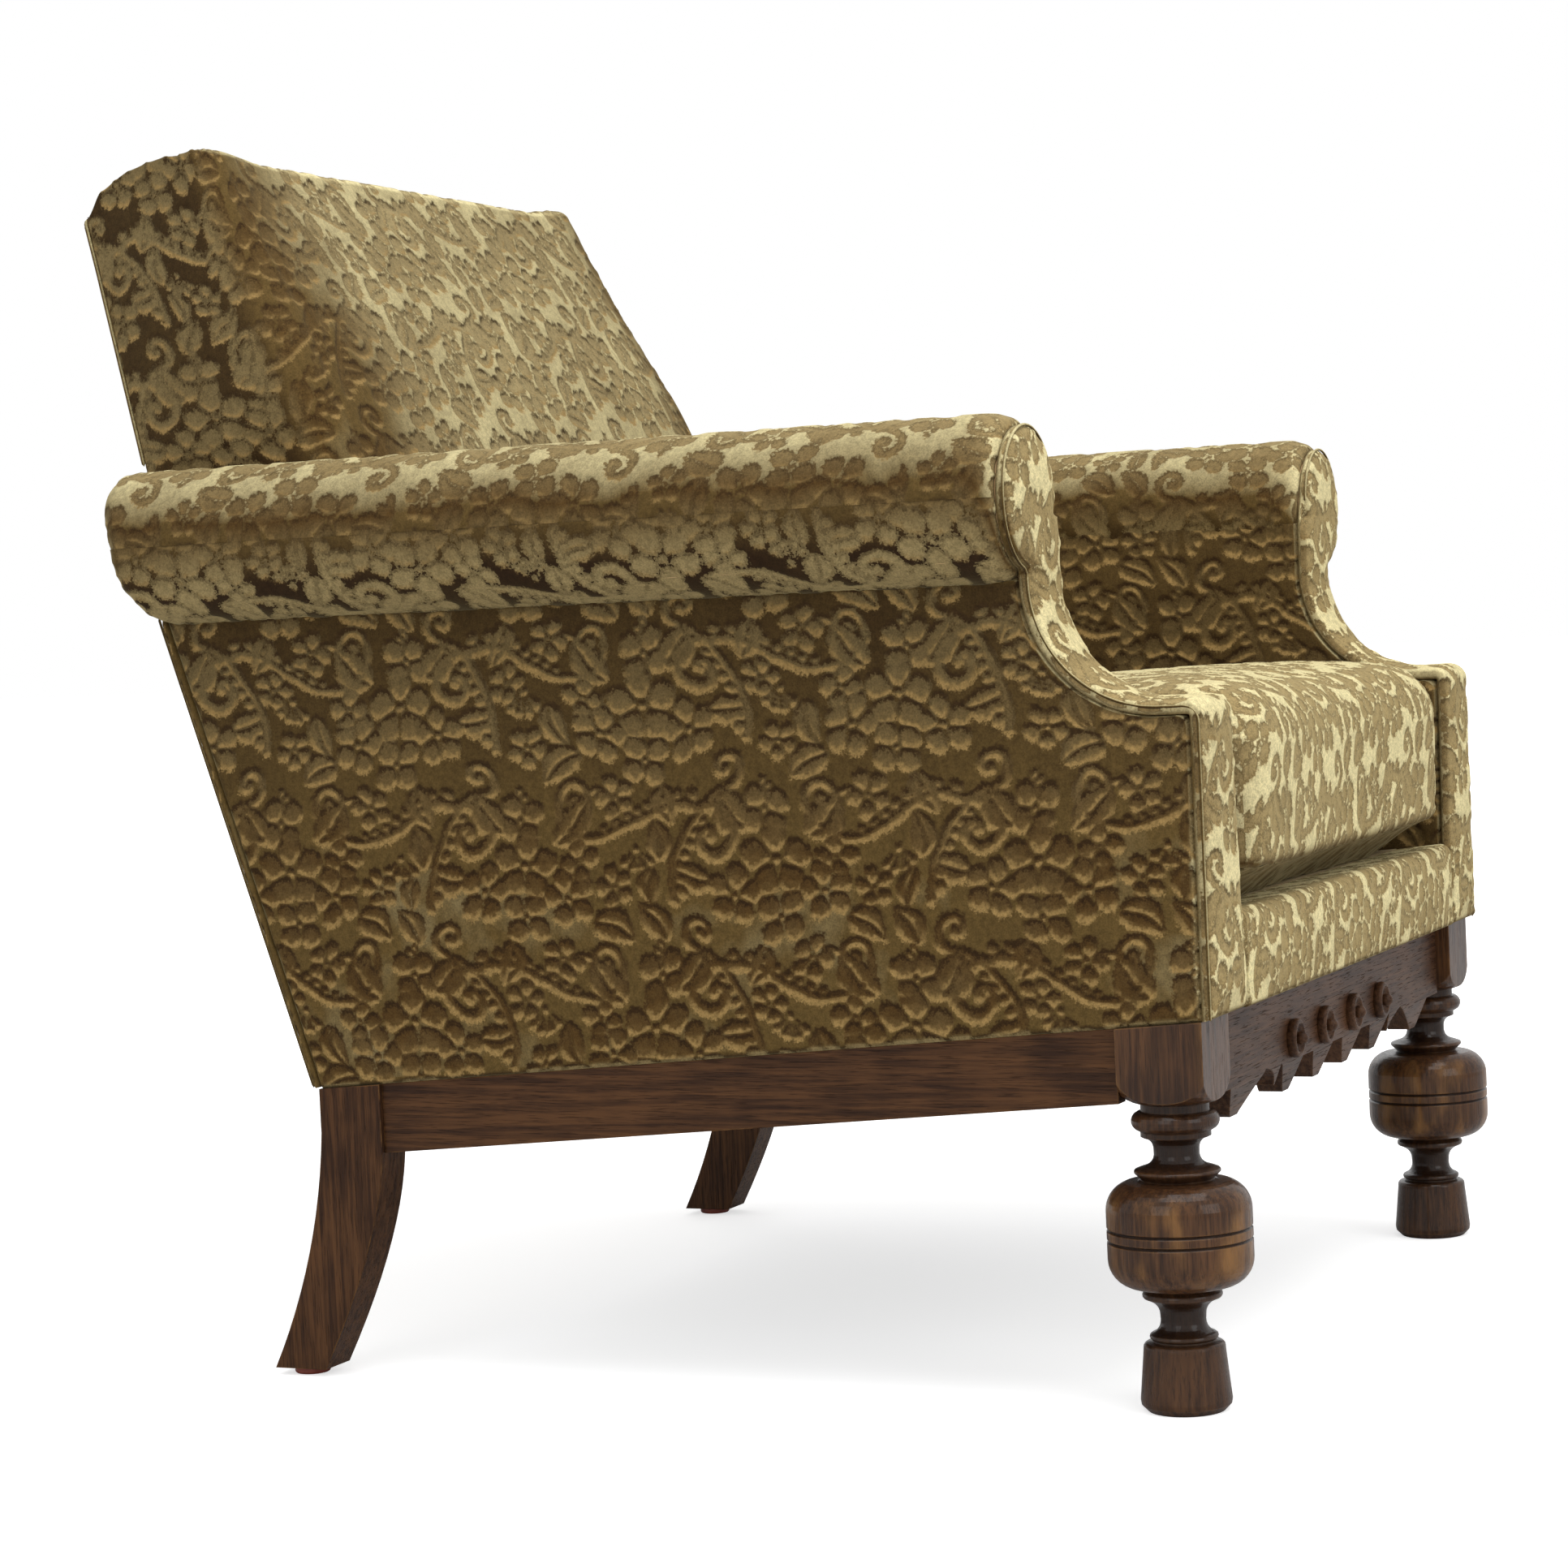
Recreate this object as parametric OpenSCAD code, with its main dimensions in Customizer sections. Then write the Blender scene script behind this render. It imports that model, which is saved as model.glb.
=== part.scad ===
// Upholstered easy chair: an oak stand with turned front legs, a carved apron and sabre rear legs
// carries a beech frame with sprung seat, rolled arms, a raked back and a loose seat cushion.
// Right and left are the sitter's. The front faces -Y, and the floor is at Z = 0.

/* [Body] */
// Width over the outside panels of the arms
body_w = 675; // [600:5:740]
// Height of the upholstery's lower edge above the floor, at the front leg axis
base_h = 238; // [228:1:262]
// Rise of the seat towards the front, in degrees
seat_pitch = 4.3; // [2:0.1:6]
// Reach of the upholstery's front face ahead of the front leg axis
front_reach = 36; // [32:1:50]
// Length of the upholstery's lower edge from front to rear
base_len = 627; // [590:1:680]
// Thickness of an outside cover with its wadding
cover_t = 6; // [3:0.5:9]
// Thickness of the front facings and of the front border
facing_t = 8; // [5:0.5:12]
// Height of the front border from the lower edge to its top
border_h = 61; // [56:1:72]

/* [Turned front legs] */
// Side of the square block at the top of a front leg
leg_block = 55; // [48:1:62]
// Height of the square block above the turned part
block_h = 50; // [44:1:54]
// Diameter of the foot at its widest
foot_d = 56; // [48:1:64]
// Height of the tapered foot
foot_h = 42; // [36:1:46]
// Diameter of the large bulb
bulb_d = 89; // [76:1:96]
// Height of the large bulb
bulb_h = 65; // [58:1:70]
// Diameter of the coves, the thinnest places
cove_d = 28; // [22:0.5:34]
// Width of each of the two incised lines round the bulb
line_w = 2.4; // [1.5:0.1:4]

/* [Rear legs] */
// Thickness of a rear leg across the chair
rear_leg_t = 31; // [26:1:36]
// Depth of a rear leg at its top
rear_leg_d = 46; // [40:1:54]
// Depth of a rear leg at the floor
rear_foot_d = 39; // [32:1:46]
// How far the foot sweeps behind the leg's top
rear_sweep = 45; // [30:1:60]
// Diameter of the glide under a rear leg
glide_d = 24; // [18:1:28]
// Height of the glide
glide_h = 5; // [3:0.5:8]

/* [Stand] */
// Height of the side rails
rail_h = 46; // [42:1:56]
// Thickness of the side rails
rail_t = 25; // [22:1:30]
// How far the side rails lie inside the upholstery's side
rail_inset = 4; // [2:0.5:8]
// Length of the tenons on the rails
tenon_l = 16; // [10:1:20]
// Play round each tenon
joint_gap = 0.2; // [0.1:0.05:0.4]
// Leg of a corner brace along the rails
brace_l = 58; // [45:1:75]
// Diameter of the screws through the corner braces
screw_d = 4; // [3:0.5:5]

/* [Carved apron] */
// Thickness of the apron
apron_t = 22; // [18:1:26]
// How far the apron lies behind the front of the leg blocks
apron_set = 10.5; // [6:0.5:14]
// Height of the apron from its straight lower edge to the upholstery
apron_h = 50; // [44:1:54]
// Depth of the carved teeth below that edge
tooth_h = 20; // [14:1:26]
// Spacing of the middle teeth and of the rosettes
tooth_pitch = 73; // [64:1:78]
// Width of a middle tooth at its root
tooth_w = 49; // [40:1:56]
// Width of a middle tooth at its tip
tooth_tip = 16; // [10:1:22]
// Place of the pointed arch's peak from the middle
peak_x = 170; // [162:1:176]
// Place of the end tooth from the middle
end_tooth_x = 226; // [220:1:230]
// Diameter of the rosettes
rosette_d = 26; // [20:1:30]
// How far a rosette's rim stands out from the apron
rosette_t = 6; // [4:0.5:9]
// Diameter of the ball in the middle of a rosette
ball_d = 9; // [6:0.5:12]

/* [Arms] */
// Height of the low shoulder at the front of an arm
shoulder_z = 432; // [415:1:445]
// Radius of the concave sweep from the shoulder to the scroll
sweep_r = 77; // [60:1:84]
// Place of the scroll's face behind the front leg axis
scroll_y = 68; // [60:1:80]
// Radius of the rolled arm
roll_r = 52.5; // [46:0.5:58]
// Height of the roll's centre above the floor
roll_z = 558.5; // [548:0.5:572]
// Place of the roll's centre inside the outside panel, from the chair's side
roll_inset = 9.5; // [4:0.5:14]
// Radius of the scroll's face, inside the rounded front edge of the roll
face_r = 44; // [38:1:45]
// Length of the rounded front edge of the roll
roll_nose = 30; // [20:1:40]
// Length of the rounded rear edge of the roll
roll_tail = 22; // [10:1:32]
// Width of the front facing at its foot
facing_w = 74; // [68:1:80]
// Outward lean of the arm's inner face, in degrees
arm_lean = 2.6; // [1:0.1:3.5]
// Thickness of the arm frame's boards
board_t = 28; // [22:1:30]
// Width of the arm stump along its curved front
stump_w = 55; // [40:1:65]
// Width of the flat rail inside the roll
arm_rail_w = 70; // [60:1:80]
// Thickness of the flat rail inside the roll
arm_rail_t = 25; // [18:1:30]

/* [Back] */
// Rake of the outside back, in degrees from upright
back_rake = 17.9; // [14:0.1:20]
// Length of the outside back from the lower edge to the top
back_len = 632; // [590:1:670]
// Thickness of the back at the top
back_top_t = 112; // [100:1:125]
// Further rake of the back's front face, in degrees
front_rake = 7.1; // [4:0.1:9]
// How far the back's top corners lie inside the chair's sides
back_inset = 71.5; // [66:0.5:80]
// Inward taper of each side of the back, in degrees
back_taper = 8.8; // [5:0.1:9.5]
// Rise of the crowned front face of the back
back_crown = 10; // [4:1:16]
// Radius of the soft corners between the back's front and its sides
back_corner_r = 26; // [14:1:34]
// Radius of the soft edge between the back's front and its top
back_edge_r = 14; // [8:1:20]
// Rise of the two raised corners at the top of the back
ear_h = 6; // [2:0.5:9]
// Thickness of the back frame
back_frame_t = 30; // [24:1:36]
// Width of the back frame's posts and rails
back_frame_w = 42; // [34:1:50]

/* [Seat] */
// Width of the beech seat rails
seat_rail_w = 45; // [38:1:52]
// Height of the beech seat rails
seat_rail_h = 50; // [44:1:52]
// Thickness of the hessian over the springs
hessian_t = 1.5; // [1:0.1:2.5]
// Thickness of a webbing strap
web_t = 1.6; // [1:0.1:2]
// Width of a webbing strap
web_w = 50; // [40:1:58]
// Diameter of a spring at its ends
spring_d = 76; // [60:1:90]
// Diameter of the spring wire
wire_d = 4; // [3:0.25:5]
// Turns in a spring
spring_turns = 4; // [3:1:5]
// Thickness of the loose cushion at its middle
cushion_t = 136; // [110:1:150]
// How far the cushion's front bulges past the front border
cushion_nose = 8; // [2:1:16]
// How far the cushion's sides are drawn in between its corners
cushion_draw = 4; // [1:0.5:8]
// Clearance round the soft parts
soft_gap = 0.4; // [0.3:0.05:0.8]

/* [Hidden] */
$fn = 64;

OAK = [0.31, 0.19, 0.11];
BEECH = [0.79, 0.64, 0.45];
VELOUR = [0.54, 0.47, 0.22];
JUTE = [0.66, 0.54, 0.36];
STEEL = [0.62, 0.62, 0.60];
FAR = 2000;
RIGHT = -1;
LEFT = 1;

half_w = body_w / 2;
frame_x = half_w - cover_t;
front_y = -front_reach;
rear_y = front_y + base_len;
pitch_k = tan(seat_pitch);
rake_k = tan(back_rake);
rear_z = base_h - rear_y * pitch_k;
leg_x = half_w - leg_block / 2 - 0.5;
turned_h = base_h - block_h;
block_in = leg_x - leg_block / 2;
rail_out = half_w - rail_inset;
rail_in = rail_out - rail_t;
rear_leg_out = half_w - 0.5;
rear_leg_in = rear_leg_out - rear_leg_t;
rear_leg_y = rear_y - 5 - rear_leg_d;
rebate_w = 12;
rebate_h = 6;
tenon_t = 9;
apron_y = -leg_block / 2 + apron_set;
apron_edge_z = base_h - apron_h;
roll_x = half_w - roll_inset;
facing_in = half_w - facing_w;
sweep_y = scroll_y - sweep_r;
sweep_z = shoulder_z + sweep_r;
arm_rail_z = roll_z - sqrt(pow(roll_r - 1, 2) - pow(arm_rail_w / 2, 2));
board_d = 20;
deck_h = border_h;
seat_top = seat_rail_h;
back_half_top = half_w - back_inset;
back_post_x = facing_in - 10;
roll_q = (roll_z - rear_z) / cos(back_rake);
chair_rear = rear_y + sin(back_rake) * (back_len + ear_h);
chair_front = min(front_y - cushion_nose, -bulb_d / 2);
mid_y = (chair_front + chair_rear) / 2;

// Height of the upholstery's sloping lower edge at a depth y.
function base_z(y) = base_h - y * pitch_k;
// Depth of the raked rear plane at a height z, moved forward by inset square to the plane.
function back_y(z, inset = 0) = rear_y + (z - rear_z) * rake_k - inset / cos(back_rake);
// Depth where the rear plane, moved forward by inset, meets the line that runs h above the lower edge.
function rear_at(h, inset = 0) =
    (rear_y + (base_h + h - rear_z) * rake_k - inset / cos(back_rake)) / (1 + pitch_k * rake_k);
// Distance of an arm's inner face from the middle plane at a height z.
function arm_in(z) = facing_in + (z - base_h) * tan(arm_lean);
// Half of the back's width at a distance q up its rear face.
function back_half(q) = back_half_top + (back_len - q) * tan(back_taper);
// Point on a circle in a profile.
function polar(c, r, a) = [c[0] + r * cos(a), c[1] + r * sin(a)];
// Points of an arc from one angle to another.
function arc(c, r, a0, a1, n = 8) = [for (i = [0:n]) polar(c, r, a0 + (a1 - a0) * i / n)];
// Points of a curve that leaves p0 towards p1 and arrives at p2.
function bend(p0, p1, p2, n = 6) =
    [for (i = [0:n]) let (t = i / n) (1 - t) * (1 - t) * p0 + 2 * t * (1 - t) * p1 + t * t * p2];
// The same points in the opposite order, on the other side of the middle.
function flip(points) = [for (i = [len(points) - 1:-1:0]) [-points[i][0], points[i][1]]];

// Moves the chair so that the middle of its footprint is the origin.
module placed() translate([0, -mid_y, 0]) children();
// Draws a right piece as it is drawn for +X, mirrored to the sitter's side.
module on_side(side) mirror([side < 0 ? 1 : 0, 0, 0]) children();
// Extrudes an outline drawn in depth and height across the chair from x0 to x1.
module across(x0, x1) translate([x0, 0, 0]) rotate([90, 0, 90]) linear_extrude(x1 - x0) children();
// Extrudes an outline drawn in width and height from y0 back to y1.
module backward(y0, y1) translate([0, y1, 0]) rotate([90, 0, 0]) linear_extrude(y1 - y0) children();
// Outline between two lines that run parallel to the lower edge, from y0 to y1.
module band(y0, y1, h0, h1) polygon([
    [y0, base_z(y0) + h0], [y1, base_z(y1) + h0], [y1, base_z(y1) + h1], [y0, base_z(y0) + h1]]);
// The same between y0 and the raked rear plane.
module band_to_back(y0, h0, h1, inset) polygon([
    [y0, base_z(y0) + h0], [rear_at(h0, inset), base_z(rear_at(h0, inset)) + h0],
    [rear_at(h1, inset), base_z(rear_at(h1, inset)) + h1], [y0, base_z(y0) + h1]]);
// Places pieces in the plane of the outside back: y is square to it, z runs up along it.
module raked() translate([0, rear_y, rear_z]) rotate([-back_rake, 0, 0]) children();

// Outline of an arm seen from the side, drawn in by inset along its front.
module arm_profile(inset, top) difference() {
    polygon([
        [front_y + inset, base_z(front_y + inset)], [rear_at(0, cover_t), base_z(rear_at(0, cover_t))],
        [back_y(top, cover_t), top], [scroll_y + inset, top], [scroll_y + inset, sweep_z],
        [sweep_y, sweep_z], [sweep_y, shoulder_z - inset], [front_y + inset, shoulder_z - inset]]);
    translate([sweep_y, sweep_z]) circle(sweep_r + inset);
    difference() {
        translate([front_y + inset, shoulder_z - inset - facing_t]) square(facing_t);
        translate([front_y + inset + facing_t, shoulder_z - inset - facing_t]) circle(facing_t);
    }
}

// Half profile of the turned part, from the floor to the square block.
module turned_profile() {
    cove_r = cove_d / 2;
    foot_r = foot_d / 2;
    bulb_r = bulb_d / 2;
    foot_top_r = foot_r - 4;
    disc_r = foot_r - 4;
    collar_r = foot_r - 1.5;
    bead_r = leg_block / 2 - 0.5;
    // Heights of the parts, from the foot up.
    ring_z = foot_h + 5;
    bulb_top = (turned_h + foot_h) / 2 + 26;
    bulb_z = bulb_top - bulb_h;
    disc_z = bulb_z - 7;
    collar_z = bulb_top + 8;
    bead_z = turned_h - 17;
    round_r = bulb_h * 0.27;
    line_gap = 7;
    mid_z = bulb_z + bulb_h * 0.5;
    difference() {
        polygon(concat(
            [[0, 0], [foot_r - 4.5, 0], [foot_r - 0.5, 4], [foot_r, 7], [foot_top_r + 1, foot_h - 4]],
            arc([foot_top_r - 2, foot_h - 3], 3, 0, 90, 4),
            [[foot_top_r - 4.5, foot_h + 0.5], [foot_top_r - 4.5, foot_h + 1.5]],
            arc([foot_top_r - 5, foot_h + 3.5], 2, -70, 70, 4),
            bend([foot_top_r - 6, ring_z + 1], [cove_r - 1, ring_z + 4], [cove_r, (ring_z + disc_z) / 2]),
            bend([cove_r, (ring_z + disc_z) / 2 + 0.5], [cove_r, disc_z - 4], [disc_r - 3, disc_z - 1]),
            arc([disc_r - 2, disc_z + 2], 2.5, -50, 60, 4),
            [[disc_r - 2, disc_z + 6], [disc_r - 2, bulb_z + 0.5]],
            [[bulb_r - round_r - 4, bulb_z + 1]],
            arc([bulb_r - round_r, bulb_z + round_r], round_r, -78, 0, 8),
            arc([bulb_r - round_r, bulb_top - round_r], round_r, 0, 72, 8),
            [[disc_r + 1, bulb_top - 0.5], [collar_r - 4.5, bulb_top + 0.5], [collar_r - 1, collar_z - 4]],
            arc([collar_r - 1.5, collar_z - 2.5], 1.5, -30, 80, 4),
            bend([collar_r - 4, collar_z], [cove_r - 1, collar_z + 2], [cove_r, (collar_z + bead_z) / 2 - 1]),
            bend([cove_r, (collar_z + bead_z) / 2], [cove_r, bead_z - 5], [bead_r - 6.5, bead_z - 3.5]),
            [[bead_r - 5.5, bead_z - 3], [bead_r - 5.5, bead_z]],
            arc([bead_r - 6, bead_z + 6.5], 6, -70, 90, 8),
            [[bead_r - 6, turned_h + 2], [0, turned_h + 2]]));
        for (s = [-1, 1]) translate([bulb_r, mid_z + s * line_gap / 2])
            rotate(45) square(line_w / sqrt(2) * [1, 1], center = true);
    }
}

// Tenons, drawn with their play when grow is the joint gap.
module side_tenons(grow) {
    across(rail_in + 8 - grow, rail_in + 8 + tenon_t + grow) {
        band(leg_block / 2 - tenon_l - grow, leg_block / 2 + 1, 10 - rail_h - grow, grow - 8);
        band(rear_leg_y - 1, rear_leg_y + tenon_l + grow, 10 - rail_h - grow, grow - 8);
    }
}
module apron_tenon(grow) {
    backward(apron_y + 7 - grow, apron_y + 7 + tenon_t + grow)
        translate([block_in - 1, apron_edge_z + 10 - grow])
            square([tenon_l + 1 + grow, 30 + 2 * grow]);
}
module back_tenon(grow) {
    across(rear_leg_in - 1, rear_leg_in + tenon_l + grow)
        band(rear_leg_y + 16 - grow, rear_leg_y + 16 + tenon_t + grow, 10 - rail_h - grow, grow - 8);
}

module front_leg(side) placed() on_side(side) color(OAK) difference() {
    union() {
        translate([leg_x, 0, 0]) rotate_extrude() turned_profile();
        // The lathe rounds the lower corners of the square block into arches.
        intersection() {
            across(block_in, block_in + leg_block) polygon([
                [-leg_block / 2, turned_h], [leg_block / 2, turned_h],
                [leg_block / 2, base_z(leg_block / 2)], [-leg_block / 2, base_z(-leg_block / 2)]]);
            translate([leg_x, 0, 0]) rotate_extrude() polygon(concat(
                [[0, turned_h]],
                arc([leg_block * 0.33, turned_h + leg_block * 0.4], leg_block * 0.4, -90, 0, 8),
                [[leg_block, turned_h + leg_block * 0.4], [leg_block, base_h + leg_block],
                [0, base_h + leg_block]]));
        }
    }
    side_tenons(joint_gap);
    apron_tenon(joint_gap);
}

module rear_leg(side) placed() on_side(side) color(OAK) difference() {
    top_y = rear_leg_y + rear_leg_d;
    bend_z = base_z(top_y) - rail_h + 8;
    toe_y = top_y + rear_sweep - rear_foot_d;
    across(rear_leg_in, rear_leg_out) polygon(concat(
        [[rear_leg_y, base_z(rear_leg_y)]],
        bend([rear_leg_y, bend_z], [rear_leg_y + 2, bend_z * 0.62], [toe_y, glide_h], 12),
        [[top_y + rear_sweep, glide_h]],
        bend([top_y + rear_sweep, glide_h], [top_y + 6, bend_z * 0.52], [top_y, bend_z + 8], 12),
        [[top_y, base_z(top_y)]]));
    side_tenons(joint_gap);
    back_tenon(joint_gap);
}

module rear_glide(side) placed() on_side(side) color("sienna")
    translate([rear_leg_out - rear_leg_t / 2, rear_leg_y + rear_leg_d + rear_sweep - rear_foot_d / 2, 0])
        rotate_extrude() polygon(concat(
            [[0, 0], [glide_d / 2 - 4, 0]],
            arc([glide_d / 2 - 2, 2], 2, -60, 0, 4),
            [[glide_d / 2, glide_h], [0, glide_h]]));

module side_rail(side) placed() on_side(side) color(OAK) union() {
    across(rail_in + rebate_w, rail_out) band(leg_block / 2, rear_leg_y, -rail_h, 0);
    across(rail_in, rail_in + rebate_w + 1) band(leg_block / 2, rear_leg_y, rebate_h - rail_h, 0);
    side_tenons(0);
}

// Lower edge of the apron from the middle to one end: teeth, a cusp, a pointed arch and an end tooth.
function tooth(x) = [
    [x - tooth_w / 2, apron_edge_z], [x - tooth_tip / 2 - 1, apron_edge_z - tooth_h + 2],
    [x - tooth_tip / 2 + 1, apron_edge_z - tooth_h], [x + tooth_tip / 2 - 1, apron_edge_z - tooth_h],
    [x + tooth_tip / 2 + 1, apron_edge_z - tooth_h + 2], [x + tooth_w / 2, apron_edge_z]];
cusp_x = tooth_pitch * 1.5 + tooth_w / 2 + 9;
peak_z = apron_edge_z + 2.5;
apron_half = concat(
    tooth(tooth_pitch / 2), tooth(tooth_pitch * 1.5),
    [[cusp_x - 5, apron_edge_z + 1.5], [cusp_x - 1, apron_edge_z - 11]],
    bend([cusp_x + 1, apron_edge_z - 12], [cusp_x + 5, apron_edge_z - 1], [peak_x, peak_z]),
    bend([peak_x + 1, peak_z], [peak_x + 16, apron_edge_z - 3],
        [end_tooth_x - 10, apron_edge_z - tooth_h + 1.5]),
    [[end_tooth_x - 8, apron_edge_z - tooth_h], [end_tooth_x + 7, apron_edge_z - tooth_h],
    [end_tooth_x + 10, apron_edge_z - tooth_h + 2], [end_tooth_x + 23, apron_edge_z],
    [block_in, apron_edge_z]]);

module front_apron() placed() color(OAK) difference() {
    union() {
        intersection() {
            backward(apron_y, apron_y + apron_t)
                polygon(concat(flip(apron_half), apron_half, [[block_in, FAR], [-block_in, FAR]]));
            across(-FAR, FAR) band(apron_y - 1, apron_y + apron_t + 1, -FAR / 2, 0);
        }
        for (side = [RIGHT, LEFT]) on_side(side) apron_tenon(0);
    }
    // The faces of the teeth are cut back to a bevel below the straight edge.
    translate([-block_in, apron_y, apron_edge_z]) rotate([17, 0, 0])
        translate([0, -20, -2 * tooth_h]) cube([2 * block_in, 20, 2 * tooth_h]);
    for (i = [0:3]) rosette_place(i) rotate([-90, 0, 0])
        cylinder(d = ball_d + 2 * joint_gap, h = apron_t * 0.6);
}

module rosette_place(i)
    translate([(i - 1.5) * tooth_pitch, apron_y, apron_edge_z + rosette_d / 2 + 1.5]) children();

// A turned rosette: a rounded rim, a dished ring, a ball in the middle and a stub glued into the apron.
module rosette(i) placed() color(OAK) rosette_place(i) rotate([90, 0, 0]) rotate_extrude() polygon(concat(
    [[0, 1 - apron_t * 0.6], [ball_d / 2, 1 - apron_t * 0.6], [ball_d / 2, 0], [rosette_d / 2 - 0.5, 0]],
    [[rosette_d / 2, rosette_t * 0.35]],
    bend([rosette_d / 2, rosette_t * 0.5], [rosette_d / 2, rosette_t], [rosette_d / 2 - 2.5, rosette_t], 4),
    bend([rosette_d / 2 - 3, rosette_t], [rosette_d / 3.4, rosette_t * 0.35],
        [ball_d / 2, rosette_t * 0.4], 4),
    arc([0, rosette_t * 0.4 + ball_d * 0.45], ball_d / 2, -30, 90, 8)));

module front_rail() placed() color(BEECH) {
    y0 = apron_y + apron_t;
    across(-block_in, block_in) {
        band(y0, leg_block / 2, rebate_h - rail_h, 0);
        band(y0, leg_block / 2 - rebate_w, -rail_h, 0);
    }
}

module back_rail() placed() color(OAK) {
    y0 = rear_leg_y + 12;
    across(-rear_leg_in, rear_leg_in) {
        band(y0, y0 + rail_t, rebate_h - rail_h, 0);
        band(y0 + rebate_w, y0 + rail_t, -rail_h, 0);
    }
    for (side = [RIGHT, LEFT]) on_side(side) back_tenon(0);
}

// Corner braces: blocks screwed across the corners of the stand, with a screw up into the seat frame.
screw_x = rail_in - 11;
front_screw_y = leg_block / 2 + 15;
rear_screw_y = rear_leg_y - 12;
brace_z = base_z(leg_block / 2) - rail_h + rebate_h + 2;
brace_h = rail_h - rebate_h - 8 - brace_l * pitch_k;
rear_brace_z = base_z(rear_leg_y - brace_l) - rail_h + rebate_h + 2;

module brace_front(side) placed() on_side(side) color(BEECH) difference() {
    translate([0, 0, brace_z]) linear_extrude(brace_h) polygon([
        [rail_in, leg_block / 2], [rail_in, leg_block / 2 + brace_l], [rail_in - 10, leg_block / 2 + brace_l],
        [block_in - brace_l, leg_block / 2 + 10], [block_in - brace_l, leg_block / 2]]);
    translate([screw_x, front_screw_y, brace_z - 1]) cylinder(d = screw_d + 2 * joint_gap, h = brace_h + 2);
}
module brace_rear(side) placed() on_side(side) color(BEECH) difference() {
    translate([0, 0, rear_brace_z]) linear_extrude(brace_h) polygon([
        [rail_in, rear_leg_y], [rail_in, rear_leg_y - brace_l], [rail_in - 10, rear_leg_y - brace_l],
        [rear_leg_in - brace_l, rear_leg_y + 2], [rear_leg_in - brace_l, rear_leg_y + 12],
        [rear_leg_in, rear_leg_y + 12], [rear_leg_in, rear_leg_y]]);
    translate([screw_x, rear_screw_y, rear_brace_z - 1])
        cylinder(d = screw_d + 2 * joint_gap, h = brace_h + 2);
}
module screw(x, y, z) translate([x, y, z]) {
    cylinder(d = screw_d, h = base_z(y) - z + seat_rail_h * 0.5);
    translate([0, 0, -screw_d / 2]) cylinder(d = screw_d * 2, h = screw_d / 2);
}
module brace_screws() placed() color(STEEL) for (side = [RIGHT, LEFT]) on_side(side) {
    screw(screw_x, front_screw_y, brace_z);
    screw(screw_x, rear_screw_y, rear_brace_z);
}

module seat_rail(side) placed() on_side(side) color(BEECH) difference() {
    across(frame_x - seat_rail_w, frame_x) band_to_back(front_y + facing_t, 0, seat_rail_h, cover_t);
    for (y = [front_screw_y, rear_screw_y]) translate([screw_x, y, base_z(y) - 10])
        cylinder(d = screw_d + 2 * joint_gap, h = 11 + seat_rail_h * 0.5);
}
module seat_rail_front() placed() color(BEECH) across(seat_rail_w - frame_x, frame_x - seat_rail_w)
    band(front_y + facing_t, front_y + facing_t + seat_rail_w, 0, seat_rail_h);
module seat_rail_back() placed() color(BEECH) across(seat_rail_w - frame_x, frame_x - seat_rail_w)
    intersection() {
        band_to_back(0, 0, seat_rail_h, cover_t);
        polygon([[back_y(0, cover_t + seat_rail_w), 0], [FAR, 0],
            [FAR, FAR / 2], [back_y(FAR / 2, cover_t + seat_rail_w), FAR / 2]]);
    }

module arm_stump(side) placed() on_side(side) color(BEECH) across(frame_x - board_t, frame_x)
    intersection() {
        difference() {
            arm_profile(facing_t, roll_z);
            arm_profile(facing_t + stump_w, roll_z + 1);
        }
        polygon([[front_y, base_z(front_y) + seat_rail_h],
            [scroll_y + FAR / 4, base_z(scroll_y + FAR / 4) + seat_rail_h],
            [scroll_y + FAR / 4, arm_rail_z], [front_y, arm_rail_z]]);
    }
module arm_back_post(side) placed() on_side(side) color(BEECH) across(frame_x - board_t, frame_x)
    polygon([
        [rear_at(seat_rail_h, cover_t + back_frame_w),
            base_z(rear_at(seat_rail_h, cover_t + back_frame_w)) + seat_rail_h],
        [rear_at(seat_rail_h, cover_t), base_z(rear_at(seat_rail_h, cover_t)) + seat_rail_h],
        [back_y(arm_rail_z, cover_t), arm_rail_z],
        [back_y(arm_rail_z, cover_t + back_frame_w), arm_rail_z]]);
module arm_top_rail(side) placed() on_side(side) color(BEECH)
    across(roll_x - arm_rail_w / 2, roll_x + arm_rail_w / 2) polygon([
        [scroll_y + facing_t + board_d, arm_rail_z], [back_y(arm_rail_z, cover_t), arm_rail_z],
        [back_y(arm_rail_z + arm_rail_t, cover_t), arm_rail_z + arm_rail_t],
        [scroll_y + facing_t + board_d, arm_rail_z + arm_rail_t]]);
// The board behind the scroll's face: a disc with a flat foot that stands on the stump.
module scroll_board(side) placed() on_side(side) color(BEECH) intersection() {
    translate([roll_x, scroll_y + facing_t + board_d, roll_z]) rotate([90, 0, 0])
        cylinder(r = face_r - 2, h = board_d);
    translate([0, scroll_y, arm_rail_z]) cube([FAR, FAR, FAR]);
}

module back_post(side) placed() on_side(side) color(BEECH)
    intersection() {
        raked() translate([back_post_x - back_frame_w, -cover_t - back_frame_t, -FAR / 4])
            cube([back_frame_w, back_frame_t, FAR / 4 + back_len - 10]);
        across(0, FAR) polygon([[0, base_z(0) + seat_rail_h], [FAR, base_z(FAR) + seat_rail_h],
            [FAR, FAR], [0, FAR]]);
    }
module back_cross_rail(q) placed() color(BEECH) raked()
    translate([back_frame_w - back_post_x, -cover_t - back_frame_t, q])
        cube([2 * (back_post_x - back_frame_w), back_frame_t, back_frame_w]);

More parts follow.
